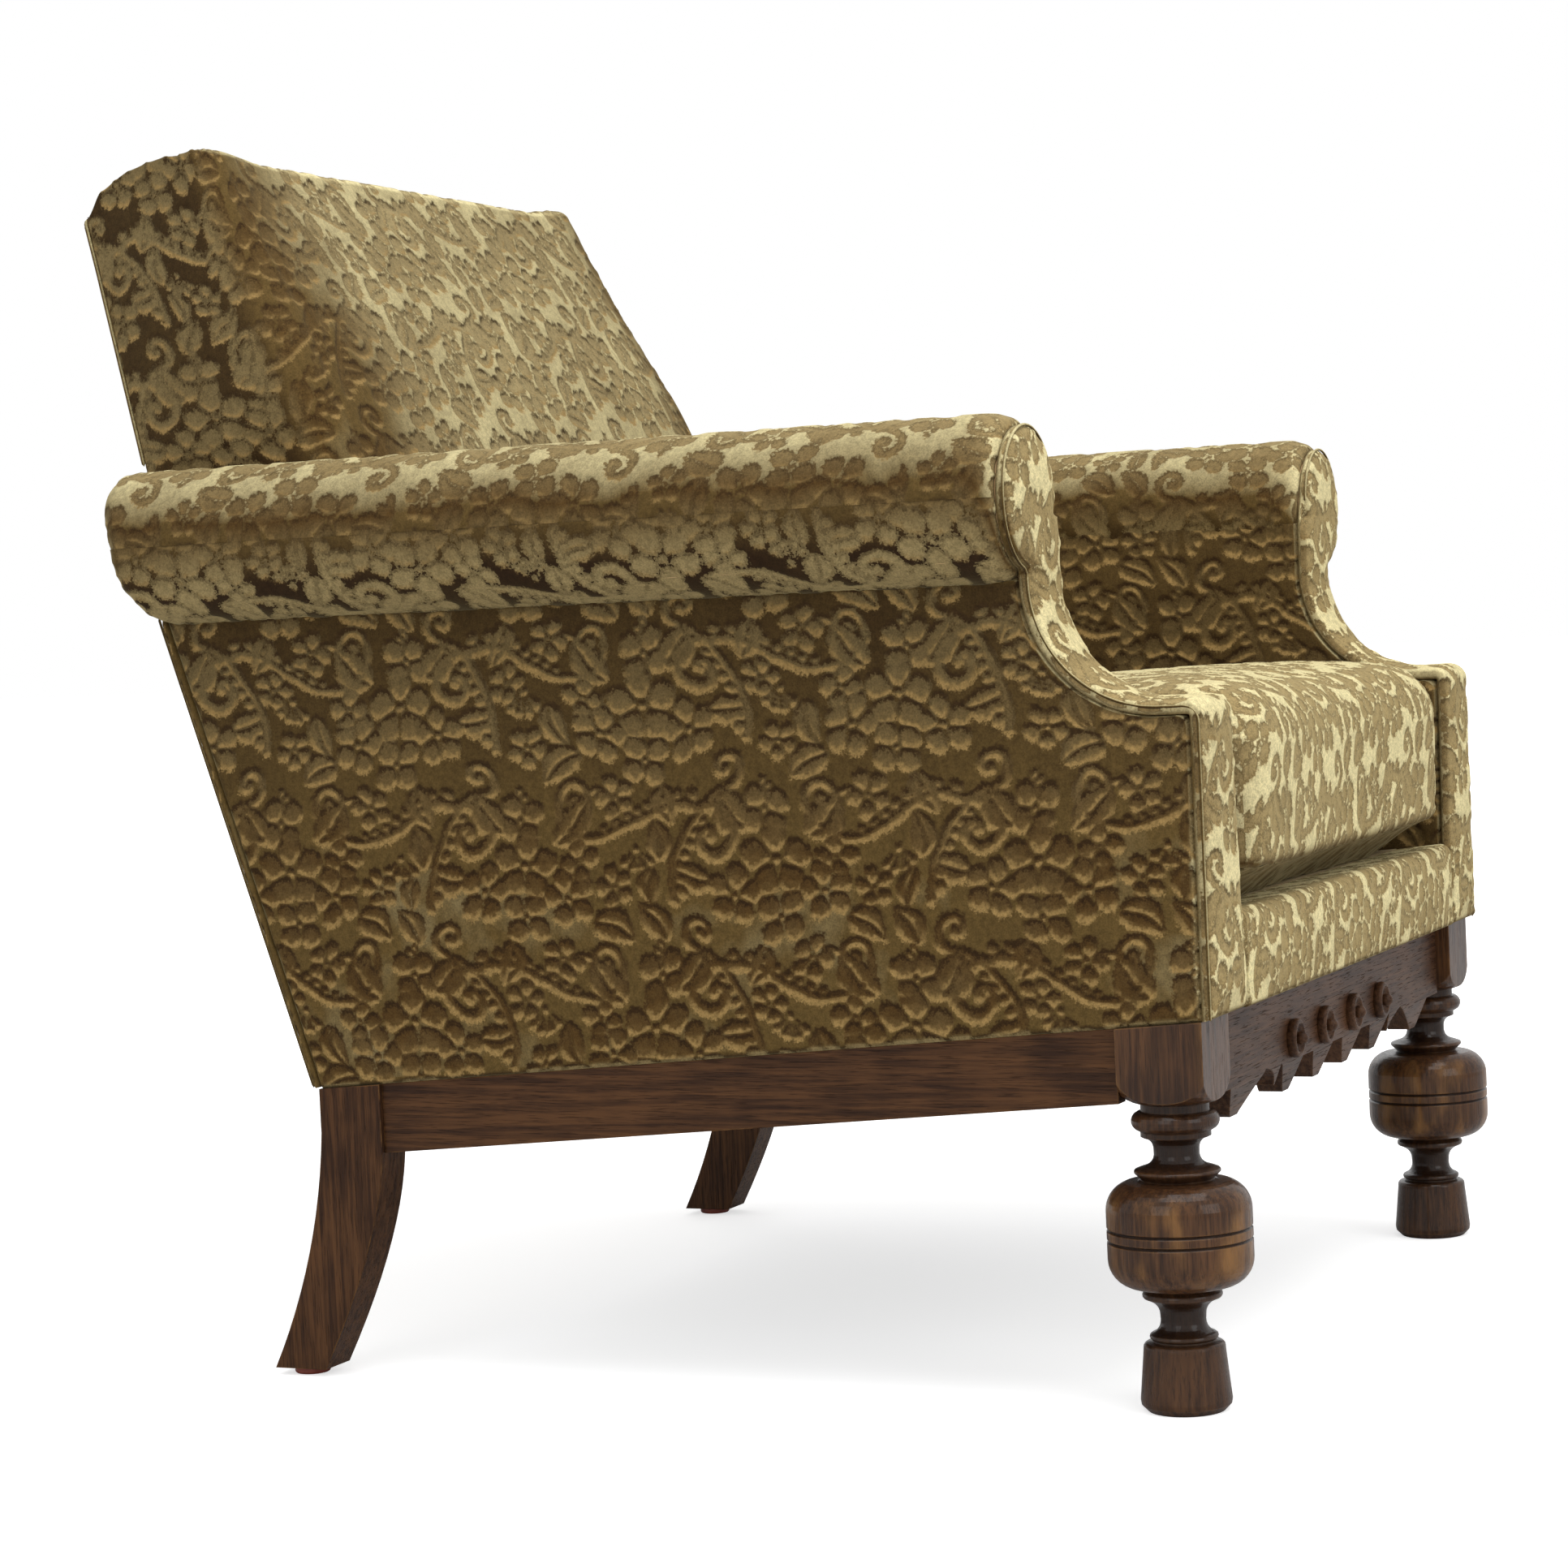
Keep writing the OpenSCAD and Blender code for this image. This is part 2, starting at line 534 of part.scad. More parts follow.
// Webbing of the seat: straps from front to rear, and straps across them from side to side.
module seat_webbing() placed() color(JUTE) {
    y0 = leg_block / 2 - rebate_w + 1;
    y1 = rear_leg_y + 12 + rebate_w - 1;
    for (i = [-2:2]) across(i * web_w * 1.9 - web_w / 2, i * web_w * 1.9 + web_w / 2)
        band(y0, y1, rebate_h - rail_h - web_t, rebate_h - rail_h);
    strap_len = rear_leg_y - brace_l - leg_block;
    for (i = [0:4]) let (y = leg_block + 20 + i * strap_len / 4)
        across(-rail_in - rebate_w + 1, rail_in + rebate_w - 1)
            band(y - web_w / 2, y + web_w / 2, rebate_h - rail_h - 2 * web_t, rebate_h - rail_h - web_t);
}
back_straps = 4;
strap_gap = (back_len - 10 - 4 * back_frame_w - back_straps * web_w) / (back_straps + 1);
module back_webbing() placed() color(JUTE) raked() for (i = [0:back_straps - 1])
    translate([-back_post_x, -cover_t - back_frame_t - web_t,
        3 * back_frame_w + strap_gap + i * (web_w + strap_gap)])
        cube([2 * back_post_x, web_t, web_w]);

module bottom_cloth() placed() color("dimgray") {
    h = rebate_h - rail_h - 2 * web_t;
    across(-rail_in - rebate_w + 1, rail_in + rebate_w - 1) band(leg_block / 2 + 1, rear_leg_y - 1, h - 1, h);
}

// Springs: waisted coils that follow the slope of the seat, one closed tube each.
spring_h = seat_rail_h + rail_h - rebate_h - 2 * soft_gap - wire_d;
spring_steps = 9;
function coil_r(t) = spring_d / 2 - wire_d / 2 - (spring_d / 5) * sin(180 * t);
function coil_at(t) = let (a = 360 * spring_turns * t, r = coil_r(t))
    [r * cos(a), r * sin(a), spring_h * t - r * sin(a) * pitch_k];
module coil_spring() {
    rings = spring_steps * spring_turns;
    points = [for (i = [0:rings]) let (t = i / rings, a = 360 * spring_turns * t) for (k = [0:3])
        coil_at(t) + wire_d / 2 * [cos(a) * cos(90 * k), sin(a) * cos(90 * k), sin(90 * k)]];
    walls = [for (i = [0:rings - 1]) for (k = [0:3]) let (b = 4 * i, n = (k + 1) % 4)
        each [[b + k, b + n, b + 4 + n], [b + k, b + 4 + n, b + 4 + k]]];
    last = 4 * rings;
    polyhedron(points, concat(walls, [[3, 2, 1, 0]], [[last, last + 1, last + 2, last + 3]]));
}
module seat_springs() placed() color(STEEL) {
    span_y = rear_leg_y - leg_block - brace_l - 40;
    for (i = [-1:1]) for (j = [0:2]) let (y = leg_block + 62 + j * span_y / 2)
        translate([i * web_w * 2.85, y, base_z(y) + rebate_h - rail_h + soft_gap + wire_d / 2]) coil_spring();
}

module seat_hessian() placed() color(JUTE) {
    x = frame_x - board_t - 3;
    across(-x, x) band(front_y + facing_t + seat_rail_w - 12, rear_at(seat_top, cover_t + back_frame_t + 4),
        seat_top, seat_top + hessian_t);
}
// Depth of the back's front face at a height z on the middle line of its side, without the crown.
front_tan = tan(back_rake + front_rake);
front_top = [back_y(rear_z + back_len * cos(back_rake)) - back_top_t * cos(back_rake),
    rear_z + back_len * cos(back_rake) + back_top_t * sin(back_rake)];
function back_front_y(z) = front_top[0] - (front_top[1] - z) * front_tan;

module seat_deck() placed() color("tan") {
    z = base_z(rear_y * 0.8) + deck_h;
    x = arm_in(base_z(0) + deck_h) - soft_gap - 3;
    across(-x, x) band(front_y + facing_t + seat_rail_w - 12, back_front_y(z) - back_crown - 2,
        seat_top + hessian_t + 0.1, deck_h);
}
module seat_border() placed() color(VELOUR) {
    x = facing_in - soft_gap;
    across(-x, x) difference() {
        union() {
            band(front_y, front_y + facing_t, 0, border_h);
            band(front_y, front_y + facing_t + seat_rail_w - 12, seat_top, border_h);
        }
        difference() {
            translate([front_y - 1, base_z(front_y) + border_h - 7]) square([8, 9]);
            translate([front_y + 7, base_z(front_y) + border_h - 7]) circle(7);
        }
    }
}

module side_panel(side) placed() on_side(side) color(VELOUR) across(frame_x, half_w)
    intersection() {
        arm_profile(facing_t, roll_z);
        square([2 * FAR, 2 * (roll_z - roll_r - 0.2)], center = true);
    }

// Front facing of an arm: a strip that follows the post, the sweep and the neck up to the round scroll face.
module arm_facing(side) placed() on_side(side) color(VELOUR) union() {
    intersection() {
        across(facing_in, half_w) difference() {
            arm_profile(0, roll_z);
            arm_profile(facing_t, roll_z + 1);
        }
        backward(-FAR, FAR) polygon([
            [facing_in, 0], [half_w, 0], [half_w, roll_z],
            [arm_in(roll_z), roll_z], [arm_in(base_h), base_h]]);
    }
    translate([roll_x, scroll_y + facing_t, roll_z]) rotate([90, 0, 0]) cylinder(r = face_r, h = facing_t);
}

// Rolled arm: a cylinder with a rounded front edge round the frame, cut off at the rear by the raked back.
module arm_roll(side) placed() on_side(side) color(VELOUR) difference() {
    intersection() {
        translate([roll_x, 0, roll_z]) rotate([-90, 0, 0]) rotate_extrude() polygon(concat(
            [[0, scroll_y + facing_t], [face_r, scroll_y + facing_t]],
            bend([face_r + 0.5, scroll_y + facing_t], [roll_r, scroll_y + facing_t + 2],
                [roll_r, scroll_y + roll_nose]),
            [[roll_r, FAR], [0, FAR]]));
        raked() translate([0, 0, -FAR / 2]) linear_extrude(FAR) polygon(concat(
            [[roll_x - roll_r * 1.2, 0], [roll_x - roll_r * 1.2, -FAR], [roll_x + roll_r, -FAR]],
            bend([roll_x + roll_r, -roll_tail * 1.4], [roll_x + roll_r - 1, -2],
                [roll_x + roll_r - roll_tail, 0])));
        across(0, FAR) polygon(concat(
            [[0, roll_z - roll_r]],
            bend([back_y(roll_z - roll_r) - roll_tail, roll_z - roll_r],
                [back_y(roll_z - roll_r), roll_z - roll_r],
                [back_y(roll_z - roll_r * 0.4), roll_z - roll_r * 0.4]),
            bend([back_y(roll_z + roll_r * 0.5), roll_z + roll_r * 0.5],
                [back_y(roll_z + roll_r), roll_z + roll_r],
                [back_y(roll_z + roll_r) - roll_tail, roll_z + roll_r]),
            [[0, roll_z + roll_r]]));
    }
    across(roll_x - arm_rail_w / 2, roll_x + arm_rail_w / 2) polygon([
        [0, arm_rail_z], [back_y(arm_rail_z, cover_t), arm_rail_z],
        [back_y(arm_rail_z + arm_rail_t, cover_t), arm_rail_z + arm_rail_t], [0, arm_rail_z + arm_rail_t]]);
    across(frame_x - board_t, frame_x) polygon([
        [0, 0], [back_y(0, cover_t), 0], [back_y(arm_rail_z + 1, cover_t), arm_rail_z + 1],
        [0, arm_rail_z + 1]]);
    translate([roll_x, scroll_y + facing_t + board_d, roll_z]) rotate([90, 0, 0])
        cylinder(r = face_r - 2, h = board_d + 1);
}

// Inside of an arm: the sloping pad between the seat and the roll.
module inside_arm(side) placed() on_side(side) color(VELOUR) difference() {
    x1 = frame_x - board_t;
    intersection() {
        backward(-FAR, FAR) polygon([
            [x1, base_h], [x1, roll_z - 14], [arm_in(roll_z - 14), roll_z - 14], [arm_in(0), 0], [x1, 0]]);
        across(0, FAR) difference() {
            arm_profile(facing_t, roll_z);
            band(-FAR, FAR, -FAR, seat_top + hessian_t);
        }
    }
    translate([roll_x, FAR, roll_z]) rotate([90, 0, 0]) cylinder(r = roll_r + soft_gap, h = 2 * FAR);
}

// Back pad: columns across the chair, each with points up its front and up its rear. The front is crowned,
// turns into the sides in a soft corner, keeps clear of the rolls, and has a raised ear at each top corner.
pad_low = seat_top + hessian_t + soft_gap;
frame_depth = cover_t + back_frame_t + web_t;
pad_d = frame_depth + 0.1;
pad_cols = concat([for (a = [90, 60, 30]) [-1, a]],
    [for (k = [-1, -0.92, -0.84, -0.76, -0.4, 0, 0.4, 0.76, 0.84, 0.92, 1]) [k, 0]],
    [for (a = [30, 60, 90]) [1, a]]);
low_rows = 5;
roll_rows = 9;
high_rows = 5;
top_rows = 4;
pad_last = low_rows + roll_rows + high_rows + top_rows;
// Raised ear of the back's top edge at a fraction k of the half width.
function ear(k) = let (t = max(0, (abs(k) - 0.76) / 0.24)) ear_h * t * t * (3 - 2 * t);
// Point in depth and height that lies d in front of the rear plane and q up along it.
function raked_at(d, q) = [
    rear_y - d * cos(back_rake) + q * sin(back_rake),
    rear_z + d * sin(back_rake) + q * cos(back_rake)];
// Point of a line between two others at a height z.
function on_line(p0, p1, z) = p0 + (p1 - p0) * (z - p0[1]) / (p1[1] - p0[1]);
// Half width of the pad: along the arms below, round the rolls, and tapering above them.
function pad_half(p) = let (
    q = (p[0] - rear_y) * sin(back_rake) + (p[1] - rear_z) * cos(back_rake),
    side = p[1] > roll_z ? back_half(q) : arm_in(p[1]) - soft_gap,
    h = p[1] - roll_z, r = roll_r + 2 * soft_gap)
    abs(h) < r ? min(side, roll_x - sqrt(r * r - h * h)) : side;
// Rows of one column between its foot and its top; the last points follow the rounded upper edge.
function pad_column(foot, top, edge) = let (
    za = roll_z - 0.35 * roll_r, zb = roll_z + roll_r) concat(
    [for (j = [0:low_rows - 1]) on_line(foot, top, foot[1] + (za - foot[1]) * j / low_rows)],
    [for (j = [0:roll_rows - 1]) on_line(foot, top, za + (zb - za) * j / roll_rows)],
    [for (j = [0:high_rows - 1]) on_line(foot, top, zb + (top[1] - zb) * j / high_rows)],
    edge);
function pad_front(k, a) = let (
    e = ear(k),
    corner = raked_at(back_top_t, back_len + e),
    top = corner + back_edge_r * [-sin(back_rake + front_rake), -cos(back_rake + front_rake)],
    low = raked_at(back_top_t + back_len * tan(front_rake), 0),
    foot_z = base_z(low[0]) + pad_low,
    rows = pad_column(on_line(low, corner, foot_z), top,
        bend(top, corner, corner + back_edge_r * [cos(back_rake), -sin(back_rake)], top_rows)))
    [for (j = [0:pad_last]) let (
        p = rows[j],
        v = min(1, (p[1] - foot_z) / (top[1] - foot_z)),
        soft = min(1, max(0, (p[1] - roll_z) / roll_r)),
        r = 4 + (back_corner_r - 4) * soft,
        bulge = back_crown * (1 - pow(abs(k), 2.5)) * (1 - pow(2 * v - 1, 4)) - r * (1 - cos(a)),
        s = p - bulge * [cos(back_rake), -sin(back_rake)],
        f = j == 0 ? [s[0], base_z(s[0]) + pad_low] : s,
        w = pad_half(f))
        [a > 0 ? sign(k) * (w - r * (1 - sin(a))) : k * (w - r), f[0], f[1]]];
function pad_rear(k, a) = let (
    foot_y = rear_at(pad_low, pad_d),
    top = raked_at(pad_d, back_len + ear(k)),
    under = raked_at(pad_d, back_len + ear(k) - back_edge_r),
    rows = pad_column([foot_y, base_z(foot_y) + pad_low], under,
        [for (j = [0:top_rows]) under + (top - under) * j / top_rows]))
    [for (j = [0:pad_last]) let (p = rows[j], w = pad_half(p),
        r = 4 + (back_corner_r - 4) * min(1, max(0, (p[1] - roll_z) / roll_r)))
        [a > 0 ? sign(k) * (w - r * (1 - sin(a))) : k * (w - r), p[0], p[1]]];
module back_pad() placed() color(VELOUR) {
    cols = len(pad_cols);
    n = pad_last + 1;
    rear = cols * n;
    points = concat([for (c = pad_cols) each pad_front(c[0], c[1])],
        [for (c = pad_cols) each pad_rear(c[0], c[1])]);
    front = [for (i = [0:cols - 2]) for (j = [0:n - 2]) let (b = i * n + j)
        each [[b, b + 1, b + n + 1], [b, b + n + 1, b + n]]];
    ends = [for (j = [0:n - 2]) each [
        [rear + j, rear + j + 1, j + 1], [rear + j, j + 1, j],
        [rear - n + j, rear - n + j + 1, 2 * rear - n + j + 1],
        [rear - n + j, 2 * rear - n + j + 1, 2 * rear - n + j]]];
    caps = [for (i = [0:cols - 2]) let (b = i * n) each [
        [b + n - 1, rear + b + n - 1, rear + b + 2 * n - 1], [b + n - 1, rear + b + 2 * n - 1, b + 2 * n - 1],
        [rear + b, b, b + n], [rear + b, b + n, rear + b + n]]];
    back = [for (i = [0:cols - 2]) for (j = [0:n - 2]) let (b = rear + i * n + j)
        each [[b, b + n + 1, b + 1], [b, b + n, b + n + 1]]];
    polyhedron(points, concat(front, ends, caps, back));
}
// Room taken by the rolls, for what is cut clear of them.
module roll_space() for (side = [RIGHT, LEFT]) on_side(side)
    translate([roll_x, FAR, roll_z]) rotate([90, 0, 0]) cylinder(r = roll_r + soft_gap, h = 2 * FAR);

// Cover and stuffing behind and beside the back frame. Its rear is as wide as the chair below the rolls and
// tapers to the two ears above them.
module back_shape(low, low_q) polygon(let (
    half = concat([[low, -cover_t], [low, low_q], [back_half(low_q + roll_r), low_q + roll_r]],
        [for (k = [1, 0.92, 0.84, 0.76]) [back_half_top * k, back_len + ear(k)]]))
    concat(half, flip(half)));
module outside_back() placed() color(VELOUR) difference() {
    union() {
        raked() backward(-cover_t, 0) back_shape(half_w, roll_q - roll_r * 1.05);
        intersection() {
            raked() backward(-frame_depth, 1 - cover_t)
                back_shape(facing_in - soft_gap, roll_q - roll_r * 0.2);
            across(-FAR, FAR) band(0, FAR, pad_low, FAR);
        }
    }
    roll_space();
    across(-FAR, FAR) band(0, FAR, -FAR, 0);
    raked() translate([-back_post_x, -frame_depth - 1, -2 * back_frame_w])
        cube([2 * back_post_x, frame_depth + 1 - cover_t, 2 * back_frame_w + back_len - 10]);
}

// Loose cushion: rings of a rounded box that shrink towards the crowned top and the flat underside.
cushion_bottom = deck_h + soft_gap;
cushion_front = front_y - cushion_nose;
cushion_back = back_front_y(base_z(rear_y * 0.75) + deck_h + cushion_t * 0.45) - back_crown * 1.6 - soft_gap;
cushion_half = arm_in(base_z(rear_y) + deck_h + cushion_t * 0.4) - soft_gap;
around = 40;
rows = 22;
function soft_pow(v, e) = sign(v) * pow(abs(v), e);
module seat_cushion() placed() color(VELOUR) {
    depth = (cushion_back - cushion_front) / 2;
    mid = (cushion_back + cushion_front) / 2;
    half_t = cushion_t / 2;
    points = [for (i = [0:rows]) let (a = -90 + 180 * (i + 0.35) / (rows + 0.7)) for (k = [0:around - 1])
        let (q = 360 * k / around,
            s = pow(cos(a), 0.32),
            drawn = cushion_draw * pow(cos(2 * q), 2),
            x = (cushion_half - drawn) * s * soft_pow(cos(q), 0.2),
            y = mid + (depth - drawn) * s * soft_pow(sin(q), 0.2),
            h = max(soft_pow(sin(a), 0.62) * half_t, -half_t * 0.93))
        [x, y, base_z(y) + cushion_bottom + half_t * 0.93 + h]];
    walls = [for (i = [0:rows - 1]) for (k = [0:around - 1])
        let (b = i * around, n = (k + 1) % around)
        each [[b + k, b + around + n, b + n], [b + k, b + around + k, b + around + n]]];
    under = [for (k = [0:around - 1]) k];
    over = [for (k = [around - 1:-1:0]) rows * around + k];
    polyhedron(points, concat(walls, [under], [over]));
}

front_leg(RIGHT);  // front_leg_right
front_leg(LEFT);  // front_leg_left
rear_leg(RIGHT);  // rear_leg_right
rear_leg(LEFT);  // rear_leg_left
rear_glide(RIGHT);  // rear_glide_right
rear_glide(LEFT);  // rear_glide_left
side_rail(RIGHT);  // side_rail_right
side_rail(LEFT);  // side_rail_left
front_apron();
front_rail();
back_rail();
rosette(0);  // rosette_1
rosette(1);  // rosette_2
rosette(2);  // rosette_3
rosette(3);  // rosette_4
brace_front(RIGHT);  // corner_brace_front_right
brace_front(LEFT);  // corner_brace_front_left
brace_rear(RIGHT);  // corner_brace_rear_right
brace_rear(LEFT);  // corner_brace_rear_left
brace_screws();
seat_rail(RIGHT);  // seat_rail_right
seat_rail(LEFT);  // seat_rail_left
seat_rail_front();
seat_rail_back();
arm_stump(RIGHT);  // arm_stump_right
arm_stump(LEFT);  // arm_stump_left
arm_back_post(RIGHT);  // arm_back_post_right
arm_back_post(LEFT);  // arm_back_post_left
arm_top_rail(RIGHT);  // arm_top_rail_right
arm_top_rail(LEFT);  // arm_top_rail_left
scroll_board(RIGHT);  // scroll_board_right
scroll_board(LEFT);  // scroll_board_left
back_post(RIGHT);  // back_post_right
back_post(LEFT);  // back_post_left
back_cross_rail(back_len - 10 - back_frame_w);  // back_top_rail
back_cross_rail(back_frame_w * 2);  // back_tack_rail
seat_webbing();
back_webbing();
bottom_cloth();
seat_springs();
seat_hessian();
seat_deck();
seat_border();
side_panel(RIGHT);  // side_panel_right
side_panel(LEFT);  // side_panel_left
arm_facing(RIGHT);  // arm_facing_right
arm_facing(LEFT);  // arm_facing_left
arm_roll(RIGHT);  // arm_roll_right
arm_roll(LEFT);  // arm_roll_left
inside_arm(RIGHT);  // inside_arm_right
inside_arm(LEFT);  // inside_arm_left
back_pad();
outside_back();
seat_cushion();
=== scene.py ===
"""Dresses the solids of an upholstered easy chair: velour over the soft parts, oak for the stand, a studio round it.

All lengths are metres in the frame of the solids. Profiles are drawn with their depth measured from the axis of
the front legs, and MID_Y moves them into the frame.
"""

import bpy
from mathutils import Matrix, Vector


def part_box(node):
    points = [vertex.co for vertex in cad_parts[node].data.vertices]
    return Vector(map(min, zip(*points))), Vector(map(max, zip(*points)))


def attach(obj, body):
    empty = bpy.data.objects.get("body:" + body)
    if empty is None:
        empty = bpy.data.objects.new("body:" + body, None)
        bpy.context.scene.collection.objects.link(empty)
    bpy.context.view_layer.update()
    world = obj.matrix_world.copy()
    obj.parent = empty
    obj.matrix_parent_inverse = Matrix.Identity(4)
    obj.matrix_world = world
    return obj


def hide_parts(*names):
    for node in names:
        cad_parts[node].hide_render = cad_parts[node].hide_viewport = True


bl_info = {
    "name": "Upholstered easy chair",
    "version": (1, 0, 0),
    "blender": (4, 5, 0),
    "location": "View3D > Sidebar > Chair",
    "description": "Velour covers, oak stand and studio for an easy chair with rolled arms",
    "category": "Add Mesh",
}

import math

import bmesh
import bpy
import numpy as np
from mathutils import Matrix

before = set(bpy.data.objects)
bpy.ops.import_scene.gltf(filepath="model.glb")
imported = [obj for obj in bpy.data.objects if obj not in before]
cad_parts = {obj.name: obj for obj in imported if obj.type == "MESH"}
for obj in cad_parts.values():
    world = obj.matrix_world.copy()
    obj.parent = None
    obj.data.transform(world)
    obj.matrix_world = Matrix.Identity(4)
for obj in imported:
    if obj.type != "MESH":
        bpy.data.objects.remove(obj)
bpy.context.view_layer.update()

# ---------------------------------------------------------------- measures, the same as in the solids

SIDES = {"right": -1, "left": 1}
MID_Y = 0.371295
HALF_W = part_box("side_panel_left")[1][0]
COVER_T, FACING_T = 0.006, 0.008
FRAME_X = HALF_W - COVER_T
BASE_H, PITCH = 0.238, math.tan(math.radians(4.3))
FRONT_Y, BASE_LEN = -0.036, 0.627
REAR_Y = FRONT_Y + BASE_LEN
RAKE, FRONT_RAKE = math.radians(17.9), math.radians(7.1)
REAR_Z = BASE_H - REAR_Y * PITCH
BORDER_H = 0.061
SHOULDER_Z, SWEEP_R, SCROLL_Y = 0.432, 0.077, 0.068
SWEEP_Y, SWEEP_Z = SCROLL_Y - SWEEP_R, SHOULDER_Z + SWEEP_R
ROLL_R, ROLL_Z, ROLL_X = 0.0525, 0.5585, HALF_W - 0.0095
FACE_R, ROLL_NOSE, ROLL_TAIL = 0.044, 0.030, 0.022
FACING_IN, ARM_LEAN = HALF_W - 0.074, math.tan(math.radians(2.6))
BACK_LEN, BACK_TOP_T, BACK_HALF = 0.632, 0.112, HALF_W - 0.0715
BACK_TAPER, EAR_H = math.tan(math.radians(8.8)), 0.006
SEAT_TOP, HESSIAN_T, SOFT_GAP = 0.050, 0.0015, 0.0004
LEG_BLOCK, BLOCK_H, LEG_X = 0.055, 0.050, HALF_W - 0.028
REAR_LEG_Y, BRACE_L = REAR_Y - 0.051, 0.058
TURNED_H, FOOT_H = BASE_H - BLOCK_H, 0.042
BULB_MID, LINE_GAP = (TURNED_H + FOOT_H) / 2 - 0.0065, 0.007
RAIL_H, REBATE_H = 0.046, 0.006
# Height over the upholstery's lower edge of the rebates to which the webbing and the dust cloth are tacked
TACK_H = REBATE_H - RAIL_H
BACK_FRAME_W, BACK_FRAME_TOP, BACK_WEB_D = 0.042, BACK_LEN - 0.010, 0.0363
STRAP_W, STRAP_T, STRAP_GAP = 0.050, 0.0012, 0.095

# ---------------------------------------------------------------- measures of the covers alone

FACING_ROUND, SEAM_INSET = 0.009, 0.0028
# Length up the rake at the rolls' axis, and at the outside back's upper edge
ROLL_Q = (ROLL_Z - REAR_Z) / math.cos(RAKE)
PANEL_TOP = BACK_LEN - 0.009
# The back's roof starts this far before the rear plane and is this deep
ROOF_START, ROOF_T = 0.004, BACK_TOP_T - 0.026
CUSHION_NOSE, SWELL_MAX = 0.010, 0.009
# Spacing of each cover's vertices over the mesh pitch
SPACING = {"outside_arm": 0.98, "roll": 1.12, "inside_arm": 1.33, "facing": 0.8, "cushion": 1.72, "back": 1.35,
           "outside_back": 1.8}


def smooth(t):
    """Smooth step from 0 to 1."""
    t = np.clip(t, 0, 1)
    return t * t * (3 - 2 * t)


def unit(v):
    """Vectors along the last axis, scaled to a length of 1."""
    return v / np.maximum(np.linalg.norm(v, axis=-1, keepdims=True), 1e-12)


def points(*xyz):
    """A grid of points from grids, rows, columns or numbers for x, y and z."""
    return np.stack(np.broadcast_arrays(*xyz), axis=-1)


def base_z(y):
    """Height of the upholstery's lower edge: it falls evenly from the front leg towards the back."""
    return BASE_H - y * PITCH


def rear_line(z, inset=0.0):
    """Depth of the raked rear plane at height z, moved forward by inset square to the plane."""
    return REAR_Y + (z - REAR_Z) * math.tan(RAKE) - inset / math.cos(RAKE)


def rear_foot(h, inset=0.0):
    """Depth where the rear plane, moved forward by inset, meets the line that runs h above the lower edge."""
    rise = (BASE_H + h - REAR_Z) * math.tan(RAKE)
    return (REAR_Y + rise - inset / math.cos(RAKE)) / (1 + PITCH * math.tan(RAKE))


def arm_in(z):
    """Distance of an arm's inner face from the middle: it leans outwards with the height."""
    return FACING_IN + (z - BASE_H) * ARM_LEAN


def raked(d, q):
    """Depth and height of a point that lies d in front of the rear plane and q up along it."""
    return REAR_Y - d * math.cos(RAKE) + q * math.sin(RAKE), REAR_Z + d * math.sin(RAKE) + q * math.cos(RAKE)


def ear(k):
    """Rise of the back's top edge at a fraction k of its half width: a smooth step over the last quarter."""
    return EAR_H * smooth((np.abs(k) - 0.76) / 0.24)


def panel_rise(k, q):
    """Rise of the outside back by its ears: it fades in over the last 50 mm up the rake."""
    return ear(k) * smooth((q - BACK_LEN + 0.05) / 0.05)


def bend(p0, p1, p2, n):
    """Points of a quadratic curve that leaves p0 towards p1 and arrives at p2."""
    t = np.linspace(0, 1, n + 1)[:, None]
    p0, p1, p2 = (np.asarray(p, float) for p in (p0, p1, p2))
    return (1 - t) ** 2 * p0 + 2 * t * (1 - t) * p1 + t * t * p2


def arc(centre, r, a0, a1, n):
    """Points of a circular arc, angles in degrees."""
    a = np.radians(np.linspace(a0, a1, n + 1))[:, None]
    return np.asarray(centre, float) + r * np.hstack([np.cos(a), np.sin(a)])


def lengths(path):
    """Distance along a path, from its first point to each of its points."""
    return np.r_[0, np.cumsum(np.linalg.norm(np.diff(path, axis=0), axis=1))]


def along(path, count):
    """The same path with evenly spaced points: linear interpolation over its arc length."""
    path = np.asarray(path, float)
    s = lengths(path)
    t = np.linspace(0, s[-1], count)
    return np.stack([np.interp(t, s, column) for column in path.T], axis=1)


def ruled(front, rear, count):
    """Grid of straight lines from each point of one edge to the same point of another."""
    t = np.linspace(0, 1, count)[None, :, None]
    return front[:, None] * (1 - t) + rear[:, None] * t


# ---------------------------------------------------------------- the velour's scroll pattern, in millimetres

TILE_U, TILE_V, CELL = 168.0, 196.0, 0.5
FREE_GAP, OUTSIDE = 9.6, -12.0


def stem(control, r0, r1, n=40):
    """Discs along a Bezier curve through the control points, their radii running evenly from r0 to r1."""
    p = np.asarray(control, float)
    t = np.linspace(0, 1, n)[:, None]
    k = len(p) - 1
    c = sum(math.comb(k, i) * (1 - t) ** (k - i) * t**i * p[i] for i in range(k + 1))
    return np.hstack([c, r0 + (r1 - r0) * t])


def scroll(c, size, turns, start, hand, r0, r1):
    """Discs along a spiral that closes in on c."""
    t = np.linspace(0, 1, int(30 * turns * size / 8))[:, None]
    a = start + hand * 2 * math.pi * turns * t
    rad = size * (1 - t) ** 0.85
    return np.hstack([c[0] + rad * np.cos(a), c[1] + rad * np.sin(a), r0 + (r1 - r0) * t])


